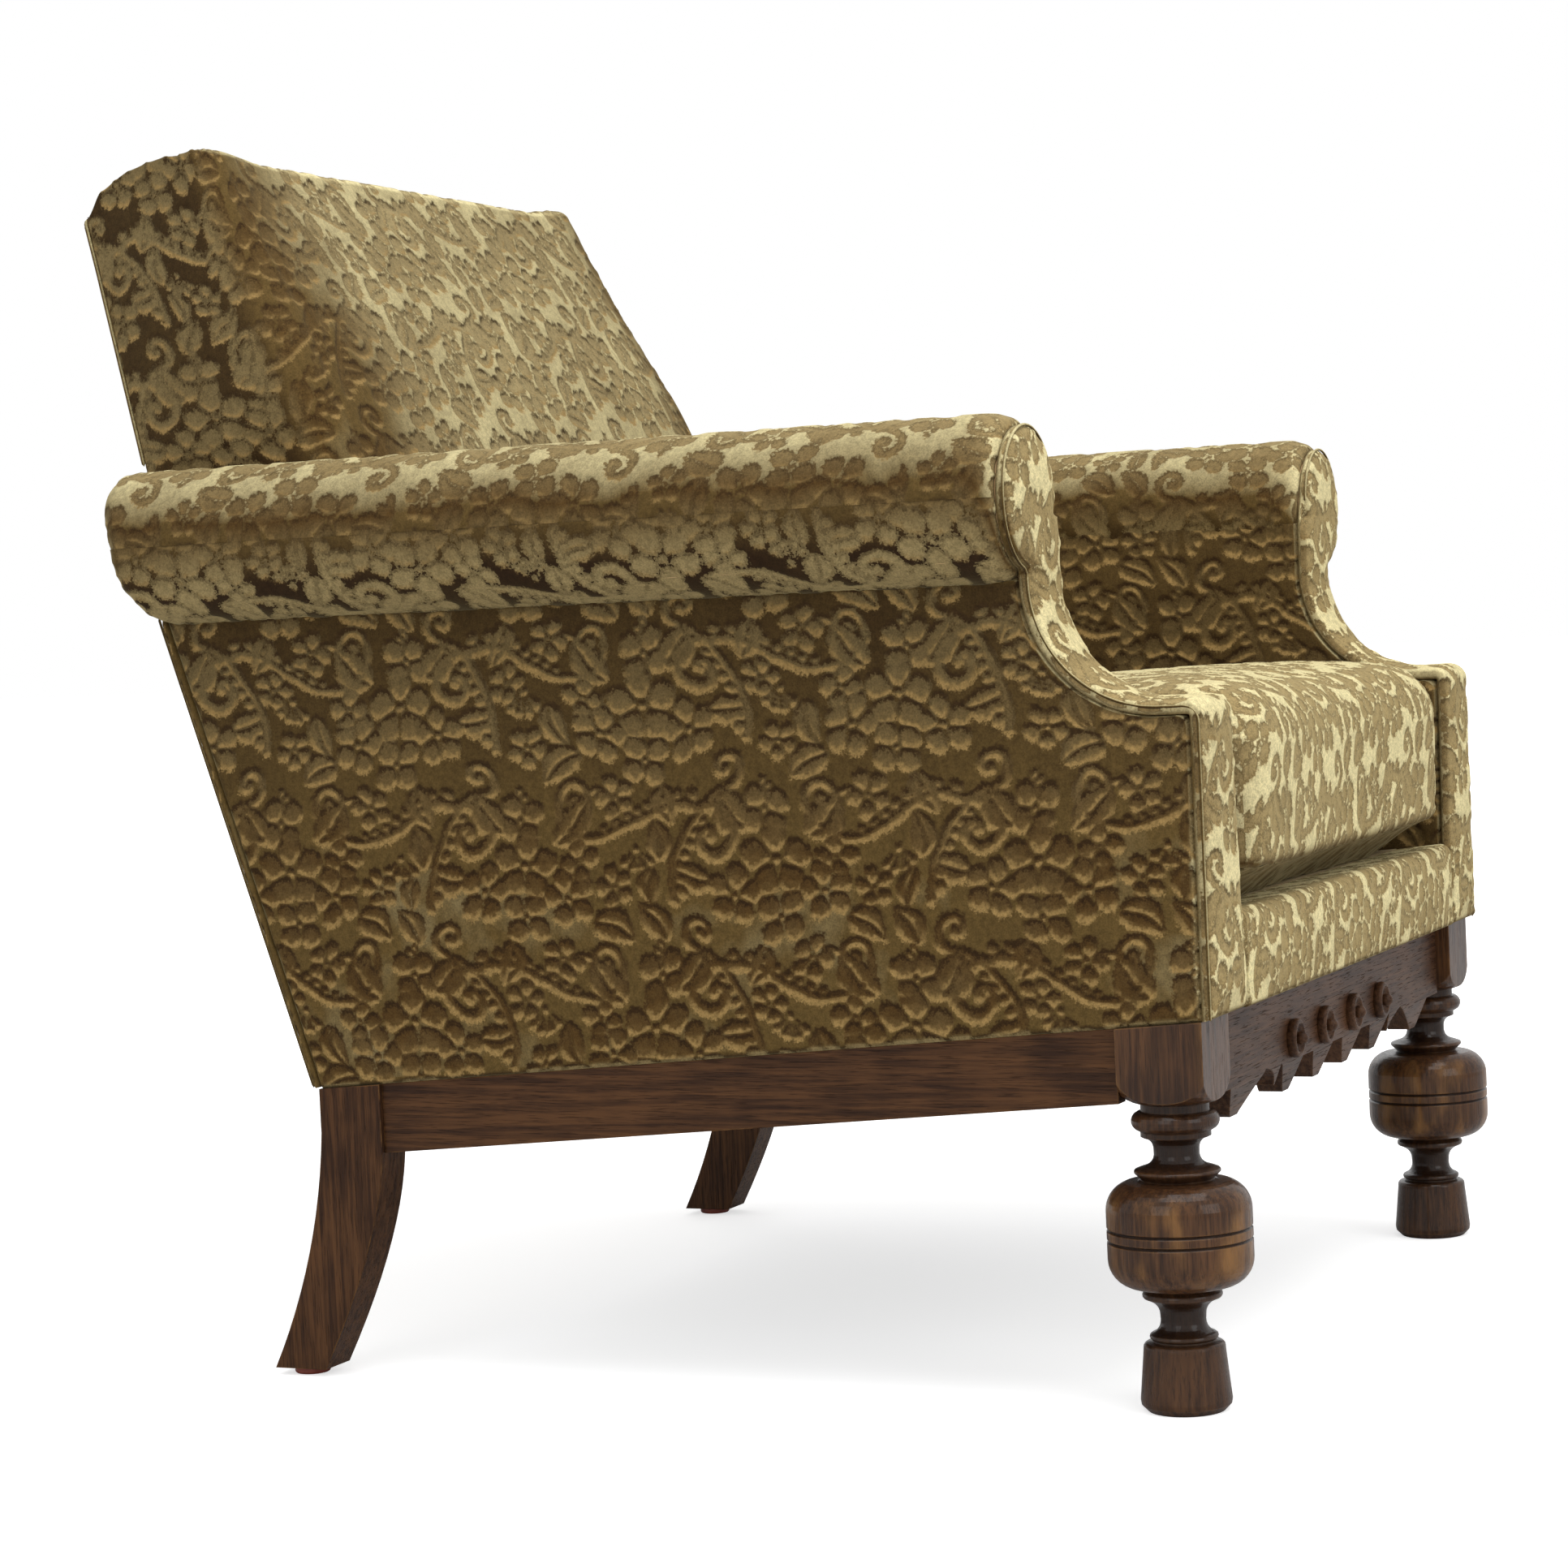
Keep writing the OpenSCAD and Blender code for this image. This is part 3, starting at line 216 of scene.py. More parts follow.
def split_leaf(base, angle, length, width, bow=0.0):
    """A pointed leaf in two halves with a rib between them: discs whose radius follows a half sine."""
    t = np.linspace(0.04, 0.96, 26)[:, None]
    d = np.array([math.cos(angle), math.sin(angle)])
    n = np.array([-d[1], d[0]])
    line = np.asarray(base, float) + d * length * t + n * bow * np.sin(np.pi * t)
    r = width / 4 * np.sin(np.pi * t**0.8) + 0.5
    return np.vstack([np.hstack([line + n * s * (r - 0.1), r]) for s in (-1, 1)])


def flower(c, size, petals, turn, sweep=2 * math.pi):
    """Petals round a bud, or a fan of them: each is a drop of three discs that fill their share of their circles."""
    a = turn + sweep * np.arange(petals) / petals
    share = math.sin(sweep / petals / 2) * size
    rings = [points(c[0] + k * size * np.cos(a), c[1] + k * size * np.sin(a), k * share * fill)
             for k, fill in ((0.70, 1.0), (0.52, 0.92), (0.36, 0.75))]
    return np.vstack(rings + [[[c[0], c[1], 0.15 * size]]])


def scalloped(band, gap, r, hand):
    """A band of discs with round lobes set along one side, one every gap, smaller towards the band's end."""
    d = lengths(band[:, :2])
    at = np.arange(gap / 2, d[-1], gap)
    p = np.stack([np.interp(at, d, column) for column in band.T], axis=1)
    t = unit(np.stack([np.interp(at, d, np.gradient(band[:, k])) for k in range(2)], axis=1))
    n = np.stack([-t[:, 1], t[:, 0]], axis=1) * hand
    size = r * (1 - 0.35 * at / d[-1])[:, None]
    return np.vstack([band, np.hstack([p[:, :2] + n * (p[:, 2:] + 0.35 * size) + t * size * 0.4, size])])


def spray():
    """One spray of blossoms, leaves, stems and scrolls, as discs."""
    return np.vstack([
        flower((0, 30), 21, 5, 0.3), flower((30, 12), 17, 5, 0.6), flower((-29, 13), 17, 5, 0.1),
        flower((1, -3), 15, 4, 0.9), flower((-4, 60), 15, 4, 0.6), flower((38, 34), 12, 4, 0.2),
        split_leaf((-16, 50), 2.2, 32, 22, 3), split_leaf((22, 46), 0.9, 34, 22, -3),
        split_leaf((46, -2), -0.5, 28, 20, 3), split_leaf((-44, 22), 2.9, 24, 17, 2),
        split_leaf((-10, -18), -1.9, 26, 18, 2),
        scroll((-44, -50), 19, 1.2, 1.1, 1, 4.6, 3.8),
        scalloped(stem([(-36, -33), (-14, -20), (8, -52), (34, -52)], 4.4, 3.2, 60), 9.0, 4.6, 1),
        stem([(34, -52), (60, -54), (68, -30), (56, -19)], 3.4, 2.8, 50),
        scroll((50, -28), 10.5, 1.1, 0.6, 1, 3.2, 2.9),
        flower((6, -60), 17, 4, -2.4, 2.2),
        scalloped(stem([(-68, 6), (-72, 28), (-58, 56), (-36, 72)], 3.2, 3.6, 60), 9.0, 4.8, -1),
        scroll((-30, 86), 12, 1.1, -1.4, 1, 3.4, 3.0),
        flower((62, 70), 13, 5, 0.7), flower((-74, -28), 15, 4, 2.2, 2.0),
        stem([(36, 66), (42, 74), (50, 76), (56, 72)], 2.2, 2.2, 20),
    ])


def blurred(image, times):
    """A repeating image with each cell averaged with its four neighbours, a number of times."""
    for _ in range(times):
        image = (image + sum(np.roll(image, step, axis) for step in (-1, 1) for axis in (0, 1))) / 5
    return image


def press(images, discs):
    """Presses discs into the repeat's two images: distance inside the motif, and paraboloid dishes."""
    inside, dish = images
    nu, nv = inside.shape
    for u, v, r in discs:
        k = int((r + 10) / CELL) + 1
        iu, iv = (np.arange(int(c / CELL) - k, int(c / CELL) + k + 1) for c in (u, v))
        d = np.hypot((iu * CELL - u)[:, None], (iv * CELL - v)[None])
        w = np.ix_(iu % nu, iv % nv)
        inside[w] = np.maximum(inside[w], r - d)
        dish[w] = np.maximum(dish[w], np.clip(1 - (d / r) ** 2, 0, 1) * min(r, 6) / 6)


def pattern_tile():
    """The repeat as two images: distance inside the motif in mm, and its pressed relief.

    A spray stands in the middle and its mirror image half a repeat away in both directions. Then the emptiest
    place gets a leaf or a flower in turn, until no wide gap is left. The relief is a smooth step at the outline
    plus the dishes of the discs."""
    shape = int(TILE_U / CELL), int(TILE_V / CELL)
    images = np.full(shape, OUTSIDE), np.zeros(shape)
    inside, dish = images
    discs = spray()
    press(images, discs)
    press(images, discs * [-1, 1, 1] + [TILE_U / 2, TILE_V / 2, 0])
    for i in range(30):
        free = -inside.min()
        if free < FREE_GAP:
            break
        at = np.array(np.unravel_index(inside.argmin(), shape)) * CELL
        a = 0.9 + 1.7 * i
        tip = 1.15 * free * np.array([math.cos(a), math.sin(a)])
        leaf = split_leaf(at - tip, a, 2.3 * free, 1.35 * free, 0.2 * free)
        press(images, flower(at, free, 5, a) if i % 2 else leaf)
    step = 1 / (1 + np.exp(-3 * inside))
    return blurred(inside, 1), blurred(0.45 * step + 0.55 * dish, 3)


def wrapped(image, i, j):
    """Reads a repeating image between its cells: bilinear over the four cells round a place."""
    nu, nv = image.shape
    a, b = np.floor(i).astype(int), np.floor(j).astype(int)
    fu, fv = i - a, j - b
    a0, a1, b0, b1 = a % nu, (a + 1) % nu, b % nv, (b + 1) % nv
    low = image[a0, b0] * (1 - fu) + image[a1, b0] * fu
    high = image[a0, b1] * (1 - fu) + image[a1, b1] * fu
    return low * (1 - fv) + high * fv


INSIDE, RELIEF = pattern_tile()


def pattern(cloth, scale):
    """Distance inside the motif in mm of cloth, and pressed relief, at cloth coordinates in metres.

    Two waves bend the drawing, one of 2 mm over about a repeat and one of half a millimetre over a petal."""
    u, v = cloth[..., 0] * 1000, cloth[..., 1] * 1000
    i = u + 2.2 * np.sin(v / 21 + u / 50) + 0.5 * np.sin(v / 4.3 - u / 9)
    j = v + 2.2 * np.sin(u / 17 - v / 33) + 0.5 * np.sin(u / 4.7 + v / 8)
    i, j = i / scale / CELL, j / scale / CELL
    return wrapped(INSIDE, i, j) * scale, wrapped(RELIEF, i, j)


# ---------------------------------------------------------------- surfaces on a grid


def steps(p, axis):
    """Distance along a grid's lines, from their first point."""
    d = np.linalg.norm(np.diff(p, axis=axis), axis=2)
    return np.cumsum(np.concatenate([np.zeros_like(np.take(d, [0], axis)), d], axis), axis)


def border_distance(p, sides=True, ends=True):
    """Distance to the nearest border, measured along the grid's lines."""
    out = np.full(p.shape[:2], 9.0)
    if sides:
        s = steps(p, 1)
        out = np.minimum(out, np.minimum(s, s[:, -1:] - s))
    if ends:
        s = steps(p, 0)
        out = np.minimum(out, np.minimum(s, s[-1:] - s))
    return out


def normals(p, inner, wrap=False):
    """Unit normals of a grid: cross product of its two differences, turned away from the point inner."""
    if wrap:
        q = np.concatenate([p[:, -2:-1], p, p[:, 1:2]], axis=1)
        dj = (q[:, 2:] - q[:, :-2]) / 2
    else:
        dj = np.gradient(p, axis=1)
    n = unit(np.cross(np.gradient(p, axis=0), dj))
    return -n if (n * (p - np.asarray(inner))).sum() < 0 else n


def climb(f, p):
    """How fast f grows straight upwards along a grid's surface: the height component of its surface gradient."""
    fi, fj = np.gradient(f)
    ei, ej = np.gradient(p, axis=0), np.gradient(p, axis=1)
    a, b, c = (ei * ei).sum(2), (ei * ej).sum(2), (ej * ej).sum(2)
    det = np.maximum(a * c - b * b, 1e-18)
    return ((fi * c - fj * b) * ei[..., 2] + (fj * a - fi * b) * ej[..., 2]) / det


def rolled_edge(d, r):
    """How far a surface lies below its flat at a distance d from its border: a quarter circle of radius r."""
    t = np.clip(1 - d / r, 0, 1)
    return r * (1 - np.sqrt(1 - t * t))


def facing_painted_light(n, p=None):
    """Painted light and shade by the way the surface faces: 1 lit, upward and forward, 0 sideways, -1 shaded, downward.
    """
    forward, rearward = np.clip(-n[..., 1], 0, 1), np.clip(n[..., 1], 0, 1)
    upright = n[..., 2] * np.where(n[..., 2] > 0, 0.95, 1.0)
    return np.clip(0.9 * forward + 0.12 * rearward + upright, -1, 1)


def outside_arm_painted_light(n, p):
    """Painted light on an arm's outside, with painted shade that darkens it towards the roll above."""
    return facing_painted_light(n) - 0.65 * smooth((p[..., 2] - 0.31) / 0.19)


def inside_arm_painted_light(n, p):
    """Painted light on an arm's inside, lowered by a half step of painted shade."""
    return facing_painted_light(n) - 0.5


def roll_painted_light(n, p):
    """Painted light on a rolled arm: lit on top, and turned fully to painted shade well above the lowest line."""
    return np.clip(facing_painted_light(n) + 0.5 * np.minimum(n[..., 2], 0) - 0.25 + 0.1 * smooth(-n[..., 2]), -1, 1)


def back_painted_light(n, p):
    """Painted light on the back: painted shade on its sides, brown round the corners, painted light over the front and
    roof.

    The painted light of the front starts further in on the right than on the left."""
    reach = np.where(p[..., 0] < 0, 0.15, 0.06)
    front = smooth(-n[..., 1] / 0.7)
    inward = smooth((0.285 - np.abs(p[..., 0])) / reach)
    roof = smooth((n[..., 2] - 0.6) / 0.3)
    return np.clip(-0.75 + 0.7 * front + 0.55 * front * inward + 0.75 * roof, -1, 1)


def grid_faces(rows, cols, flip=False):
    """Quads of a grid whose vertices are numbered row by row."""
    i = (np.arange(rows - 1)[:, None] * cols + np.arange(cols - 1)[None]).ravel()
    quads = np.stack([i, i + cols, i + cols + 1, i + 1], axis=1)
    return quads[:, ::-1] if flip else quads


def sewn(mesh, parts, merge=0.0):
    """Puts the faces of all parts into mesh, merges vertices closer than merge and turns the faces outwards."""
    bm = bmesh.new()
    for part in parts:
        bm.from_mesh(part)
    if merge:
        bmesh.ops.remove_doubles(bm, verts=bm.verts, dist=merge)
        bmesh.ops.dissolve_degenerate(bm, edges=bm.edges, dist=1e-7)
    bmesh.ops.recalc_face_normals(bm, faces=bm.faces)
    for f in bm.faces:
        f.smooth = True
    bm.to_mesh(mesh)
    bm.free()


def mesh_piece(name, verts, quads, polygons=(), attributes=None, uv=None, merge=2e-6, material=None):
    """Makes an object from arrays, writes its attributes and its cloth map, merges its seams and turns it outwards."""
    mesh = bpy.data.meshes.new(name)
    mesh.from_pydata(verts.tolist(), [], quads.tolist() + [list(p) for p in polygons])
    for key, values in (attributes or {}).items():
        mesh.attributes.new(key, "FLOAT", "POINT").data.foreach_set("value", np.asarray(values, np.float32).ravel())
    if uv is not None:
        layer = mesh.uv_layers.new(name="cloth")
        loops = np.empty(len(mesh.loops), np.int32)
        mesh.loops.foreach_get("vertex_index", loops)
        layer.data.foreach_set("uv", uv[loops].astype(np.float32).ravel())
    sewn(mesh, [mesh], merge)
    obj = bpy.data.objects.new(name, mesh)
    bpy.context.scene.collection.objects.link(obj)
    if material:
        mesh.materials.append(material)
    return obj


def cover(name, face, cloth, inner, back=None, side=1, wrap=False, seam=(True, True), painted_light=facing_painted_light, rims=1.0,
          contrast=1.0, ends=True):
    """One velour piece from a grid of its outer face.

    The pattern's depth is taken off along the normals and fades out within 3 mm of each sewn border. back holds two
    rows of points behind the grid's first and last column; they close the piece with walls and a back, and its
    first and last row close with one polygon each. side -1 mirrors the piece to the sitter's right."""
    settings = bpy.context.scene.chair_velour
    n = normals(face, inner, wrap)
    inside, pressed = pattern(cloth, settings.pattern_scale)
    fade = smooth(border_distance(face, seam[0] and not wrap, seam[1]) / 0.003)
    shaped = face - n * (pressed * fade * settings.pile_depth)[..., None]
    mirror, middle = np.array([side, 1, 1]), [0, MID_Y, 0]
    rows, cols = face.shape[:2]
    start, last_row = rows * cols, (rows - 1) * cols
    verts = (shaped * mirror - middle).reshape(-1, 3)
    attributes = {
        "motif": np.clip(inside, -4, 6).ravel(),
        # Painted light and painted shade of the pile by the way each point faces
        "painted_light": painted_light(n, face).ravel(),
        "press": np.broadcast_to(contrast, (rows, cols)).ravel(),
        # How steeply the motif's walls face up or down, for their painted highlights and painted shade
        "tilt": rims * np.clip(climb(inside, face) / 1000, -1, 1).ravel(),
    }
    uv = cloth.reshape(-1, 2)
    quads = [grid_faces(rows, cols, side < 0)]
    polygons = []
    if back is not None:
        a, b = start + np.arange(rows), start + rows + np.arange(rows)
        first, last = np.arange(rows) * cols, np.arange(rows) * cols + cols - 1
        verts = np.vstack([verts, np.vstack(back) * mirror - middle])
        for p, q in ((first, a), (a, b), (b, last)):
            quads.append(np.stack([p[:-1], q[:-1], q[1:], p[1:]], axis=1))
        attributes = {k: np.r_[v, np.full(2 * rows, v.min() if k == "motif" else 0.0)] for k, v in attributes.items()}
        uv = np.vstack([uv, cloth[:, 0], cloth[:, -1]])
        polygons = [np.r_[np.arange(cols), b[0], a[0]], np.r_[last_row + np.arange(cols), b[-1], a[-1]]]
    elif ends:
        polygons = [np.arange(cols - wrap), last_row + np.arange(cols - wrap)]
    return mesh_piece(name, verts, np.vstack(quads), [p.tolist() for p in polygons], attributes, uv,
                      material=velour_material())


def welt(name, path, radius, wear_and_painted_shade, side=1):
    """A closed cord with round ends along a path: circles square to it, shrinking over the last radius."""
    corners = 9
    t = unit(np.gradient(path, axis=0))
    u = unit(np.cross(t, [0.31, 0.17, 0.93]))
    v = np.cross(t, u)
    a = np.linspace(0, 2 * np.pi, corners)[:, None]
    ring = u[:, None] * np.cos(a) + v[:, None] * np.sin(a)
    s = lengths(path)
    edge = np.clip(np.minimum(s, s[-1] - s) / radius, 0, 1)
    r = radius * np.sqrt(np.clip(1 - (1 - edge) ** 2, 0, 1))
    p = (path[:, None] + ring * r[:, None, None]) * [side, 1, 1] - [0, MID_Y, 0]
    # Painted light by the way the cord faces, lowered by the cord's painted shade
    painted_light = facing_painted_light(ring * [side, 1, 1])
    zeros = np.zeros(painted_light.size)
    obj = mesh_piece(name, p.reshape(-1, 3), grid_faces(len(path), corners),
                     attributes={"motif": zeros - 3, "painted_light": painted_light.ravel() - wear_and_painted_shade, "press": zeros, "tilt": zeros},
                     uv=np.stack([np.repeat(s, corners), zeros], axis=1), material=velour_material())
    return finish_piece(obj, "chair", [])


def finish_piece(obj, body, nodes):
    """Ties a piece to its body and hides the solids that it stands for."""
    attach(obj, body)
    if nodes:
        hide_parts(*nodes)
    return obj


# ---------------------------------------------------------------- materials

FLOAT, COLOUR, VECTOR = "NodeSocketFloat", "NodeSocketColor", "NodeSocketVector"
# Specular level of all finishes, bumps of the pile per metre, and width of the rubbed edges
MATTE, TUFT_SCALE, PATCH_SCALE, EDGE_W = 0.12, 900.0, 16.0, 0.0016


def srgb(r, g, b):
    """A colour written 0 to 255 as light."""
    c = np.array([r, g, b]) / 255
    return tuple(np.where(c <= 0.04045, c / 12.92, ((c + 0.055) / 1.055) ** 2.4))


# Dark brown of the oak's pores, and of the darkening in the turned legs' coves and incised lines
DARK_BROWN = srgb(26, 15, 9)


def wire(tree, n, inputs):
    """Sets a node's inputs, by name or number, to values or to the sockets of other nodes."""
    for key, value in inputs.items():
        if isinstance(value, bpy.types.NodeSocket):
            tree.links.new(value, n.inputs[key])
        else:
            n.inputs[key].default_value = value
    return n


def node(tree, kind, inputs=None, **settings):
    """Adds a node: settings are its properties, inputs are values or sockets by name or number."""
    n = tree.nodes.new(kind)
    for key, value in settings.items():
        setattr(n, key, value)
    return wire(tree, n, inputs or {})


def ramp(tree, factor, stops):
    """A colour ramp with stops of (place, colour)."""
    n = node(tree, "ShaderNodeValToRGB", {0: factor})
    while len(n.color_ramp.elements) < len(stops):
        n.color_ramp.elements.new(0.5)
    for element, (place, colour) in zip(n.color_ramp.elements, stops):
        element.position = place
        element.color = (*colour, 1)
    return n.outputs[0]


def mix(tree, factor, a, b, blend="MIX"):
    """Mixes two colours, each a socket or a colour of three numbers."""
    a, b = (c if isinstance(c, bpy.types.NodeSocket) else (*c, 1) for c in (a, b))
    return node(tree, "ShaderNodeMix", {0: factor, 6: a, 7: b}, data_type="RGBA", blend_type=blend).outputs[2]


def maths(tree, operation, a, b=0.0, clamp=False):
    """One step of arithmetic."""
    return node(tree, "ShaderNodeMath", {0: a, 1: b}, operation=operation, use_clamp=clamp).outputs[0]


def product(tree, a, b):
    """Two values multiplied."""
    return maths(tree, "MULTIPLY", a, b)


def total(tree, a, b, clamp=False):
    """Two values added."""
    return maths(tree, "ADD", a, b, clamp)


def length_of(tree, vector):
    """Length of a vector."""
    return node(tree, "ShaderNodeVectorMath", {0: vector}, operation="LENGTH").outputs["Value"]


def between(tree, value, low, high, a=0.0, b=1.0):
    """Maps a value from low..high to a..b, smooth and limited."""
    return node(tree, "ShaderNodeMapRange", {0: value, 1: low, 2: high, 3: a, 4: b},
                interpolation_type="SMOOTHSTEP").outputs[0]


def noise(tree, place, scale, detail=4.0, **more):
    """Fractal noise at a place, of so many bumps per metre."""
    return node(tree, "ShaderNodeTexNoise", {"Vector": place, "Scale": scale, "Detail": detail, **more}).outputs[0]


def mapped(tree, place, **change):
    """A place turned or scaled."""
    return node(tree, "ShaderNodeMapping", {"Vector": place, **change}).outputs[0]


def bump(tree, height, strength, distance, **more):
    """Normals roughened by a height."""
    inputs = {"Strength": strength, "Distance": distance, "Height": height, **more}
    return node(tree, "ShaderNodeBump", inputs).outputs[0]


def new_material(name):
    """A material with its tree, its shader and the object coordinates."""
    mat = bpy.data.materials.new(name)
    mat.use_nodes = True
    tree = mat.node_tree
    return mat, tree, tree.nodes["Principled BSDF"], node(tree, "ShaderNodeTexCoord").outputs["Object"]


def effect(tree, name, inputs, outputs, build, values):
    """Uses a node group with named sockets, made by build the first time, and returns its outputs.

    inputs and outputs are labels with their kinds; values go to the inputs in order."""
    if name not in bpy.data.node_groups:
        inner = bpy.data.node_groups.new(name, "ShaderNodeTree")
        for direction, sockets in (("INPUT", inputs), ("OUTPUT", outputs)):
            for label, kind in sockets.items():
                inner.interface.new_socket(label, in_out=direction, socket_type=kind)
        given = inner.nodes.new("NodeGroupInput").outputs
        made = build(inner, *[given[label] for label in inputs])
        wire(inner, inner.nodes.new("NodeGroupOutput"), dict(enumerate(made)))
    return node(tree, "ShaderNodeGroup", dict(enumerate(values)), node_tree=bpy.data.node_groups[name]).outputs


def pile_effect(inner, place, tuft_scale, patch_scale):
    """Cut pile: fine tufts, brushed patches, a ragged outline and a height for the bump."""
    fine = noise(inner, place, tuft_scale, 2.0)
    patches = noise(inner, place, patch_scale, 3.0, Roughness=0.6)
    tufts = total(inner, product(inner, fine, 0.55), product(inner, noise(inner, place, 260.0, 3.0), 0.45))
    ragged = total(inner, product(inner, fine, 3.0), product(inner, noise(inner, place, 400.0, 2.0), 6.5))
    return tufts, patches, maths(inner, "SUBTRACT", ragged, 4.75), tufts


def grain_effect(inner, place, dark, light):
    """Oak grain: long dark pores and growth bands that run along Z of the vector given."""
    stretched = mapped(inner, place, Scale=(1, 1, 0.045))
    bands = noise(inner, stretched, 340.0, Distortion=0.3)
    tone = total(inner, product(inner, bands, 0.65), product(inner, noise(inner, place, 22.0), 0.35))
    pore = between(inner, noise(inner, stretched, 1100.0, 2.0, Roughness=0.6), 0.54, 0.66)
    colour = mix(inner, between(inner, tone, 0.34, 0.66), dark, light)
    return mix(inner, product(inner, pore, 0.5), colour, DARK_BROWN), pore, product(inner, pore, -1.0)


def wear_effect(inner, place, width):
    """Rubbed edges: where a rounded normal differs from the real one, broken up by noise."""
    rounded = node(inner, "ShaderNodeBevel", {"Radius": width}, samples=6).outputs[0]
    facing = node(inner, "ShaderNodeNewGeometry").outputs["Normal"]
    same = node(inner, "ShaderNodeVectorMath", {0: rounded, 1: facing}, operation="DOT_PRODUCT").outputs["Value"]
    broken = between(inner, noise(inner, place, 60.0), 0.38, 0.62)
    return product(inner, between(inner, same, 0.995, 0.90), broken), rounded


def velour_material():
    """Pile velour: the ground and the pressed motif each have lit, sideways and shaded copies of their colour, picked
    by painted light by the way the surface faces.
    """
    if "Olive velour" in bpy.data.materials:
        return bpy.data.materials["Olive velour"]
    look = bpy.context.scene.chair_velour
    mat, tree, shader, place = new_material("Olive velour")
    pile = effect(tree, "Cut pile", {"Place": VECTOR, "Tuft scale": FLOAT, "Patch scale": FLOAT},
                  {"Tufts": FLOAT, "Patches": FLOAT, "Ragged": FLOAT, "Height": FLOAT}, pile_effect,
                  (place, TUFT_SCALE, PATCH_SCALE))
    motif, painted_light, press_in, tilt = (node(tree, "ShaderNodeAttribute", attribute_name=k).outputs["Fac"]
                                  for k in ("motif", "painted_light", "press", "tilt"))
    brushed = product(tree, maths(tree, "SUBTRACT", pile["Patches"], 0.5), look.brushing)
    painted_light = node(tree, "ShaderNodeMath", {0: painted_light, 1: 0.5, 2: 0.5}, operation="MULTIPLY_ADD").outputs[0]
    painted_light = total(tree, painted_light, brushed, clamp=True)
    # Painted light and painted shade: lit, sideways and shaded copies of each colour
    ground_colour = ramp(tree, painted_light, [(0, look.ground_painted_shade), (0.5, look.ground_painted_sideways), (0.97, look.ground_painted_lit)])
    motif_colour = ramp(tree, painted_light, [(0, look.motif_painted_downward), (0.5, look.motif_painted_sideways), (0.97, look.motif_painted_lit)])
    depth = total(tree, motif, pile["Ragged"])
    pressed = product(tree, between(tree, depth, -0.7, 0.7), press_in)
    # Dark lines along the petals' outlines and in the valleys between them: partly the pattern's drawing, partly
    # painted shade in the creases
    veins_and_crease_shade = product(tree, between(tree, depth, -0.2, 0.8), between(tree, depth, 2.6, 1.2))
    colour = mix(tree, pressed, ground_colour, motif_colour)
    colour = mix(tree, product(tree, veins_and_crease_shade, 0.35), colour, look.rim_painted_shade)
    # Painted highlights on the motif's walls that face up and painted shade on those that face down
    wall = product(tree, between(tree, depth, -2.2, 0.4), between(tree, depth, 1.2, 4.2, look.rim, 0.1 * look.rim))
    for low, high, rim in ((0.04, 0.72, look.rim_painted_highlight), (-0.04, -0.72, look.rim_painted_shade)):
        colour = mix(tree, product(tree, wall, between(tree, tilt, low, high)), colour, rim)
    speck = between(tree, pile["Tufts"], 0.3, 0.7, 0.72, 1.28)
    grey = node(tree, "ShaderNodeCombineColor", {0: speck, 1: speck, 2: speck}).outputs[0]
    wire(tree, shader, {
        "Base Color": mix(tree, 1.0, colour, grey, "MULTIPLY"), "Roughness": 0.95, "Specular IOR Level": MATTE,
        "Normal": bump(tree, pile["Height"], 0.5, 0.0006), "Sheen Weight": look.sheen, "Sheen Roughness": 0.35,
        "Sheen Tint": (*srgb(235, 220, 165), 1)})
    return mat


def turning_wear_and_hollows(tree, place):
    """Wear on the turned legs by the distance from their axes, golden on the bulb, and a darkening in the coves and in
    the two incised lines."""
    at = node(tree, "ShaderNodeSeparateXYZ", {0: place}).outputs
    x = maths(tree, "SUBTRACT", maths(tree, "ABSOLUTE", at[0]), LEG_X)
    r = length_of(tree, node(tree, "ShaderNodeCombineXYZ", {0: x, 1: total(tree, at[1], MID_Y)}).outputs[0])
    streaks = noise(tree, mapped(tree, place, Scale=(1, 1, 0.4)), 45.0, 7.0)
    wear = product(tree, between(tree, r, 0.034, 0.0435), between(tree, streaks, 0.42, 0.70))
    from_line = maths(tree, "ABSOLUTE", maths(tree, "SUBTRACT", at[2], BULB_MID))
    from_line = maths(tree, "ABSOLUTE", maths(tree, "SUBTRACT", from_line, LINE_GAP / 2))
    in_cove, in_line = between(tree, r, 0.031, 0.016, 0.0, 0.85), between(tree, from_line, 0.0013, 0.0005, 0.0, 0.9)
    return wear, total(tree, in_cove, in_line, clamp=True)


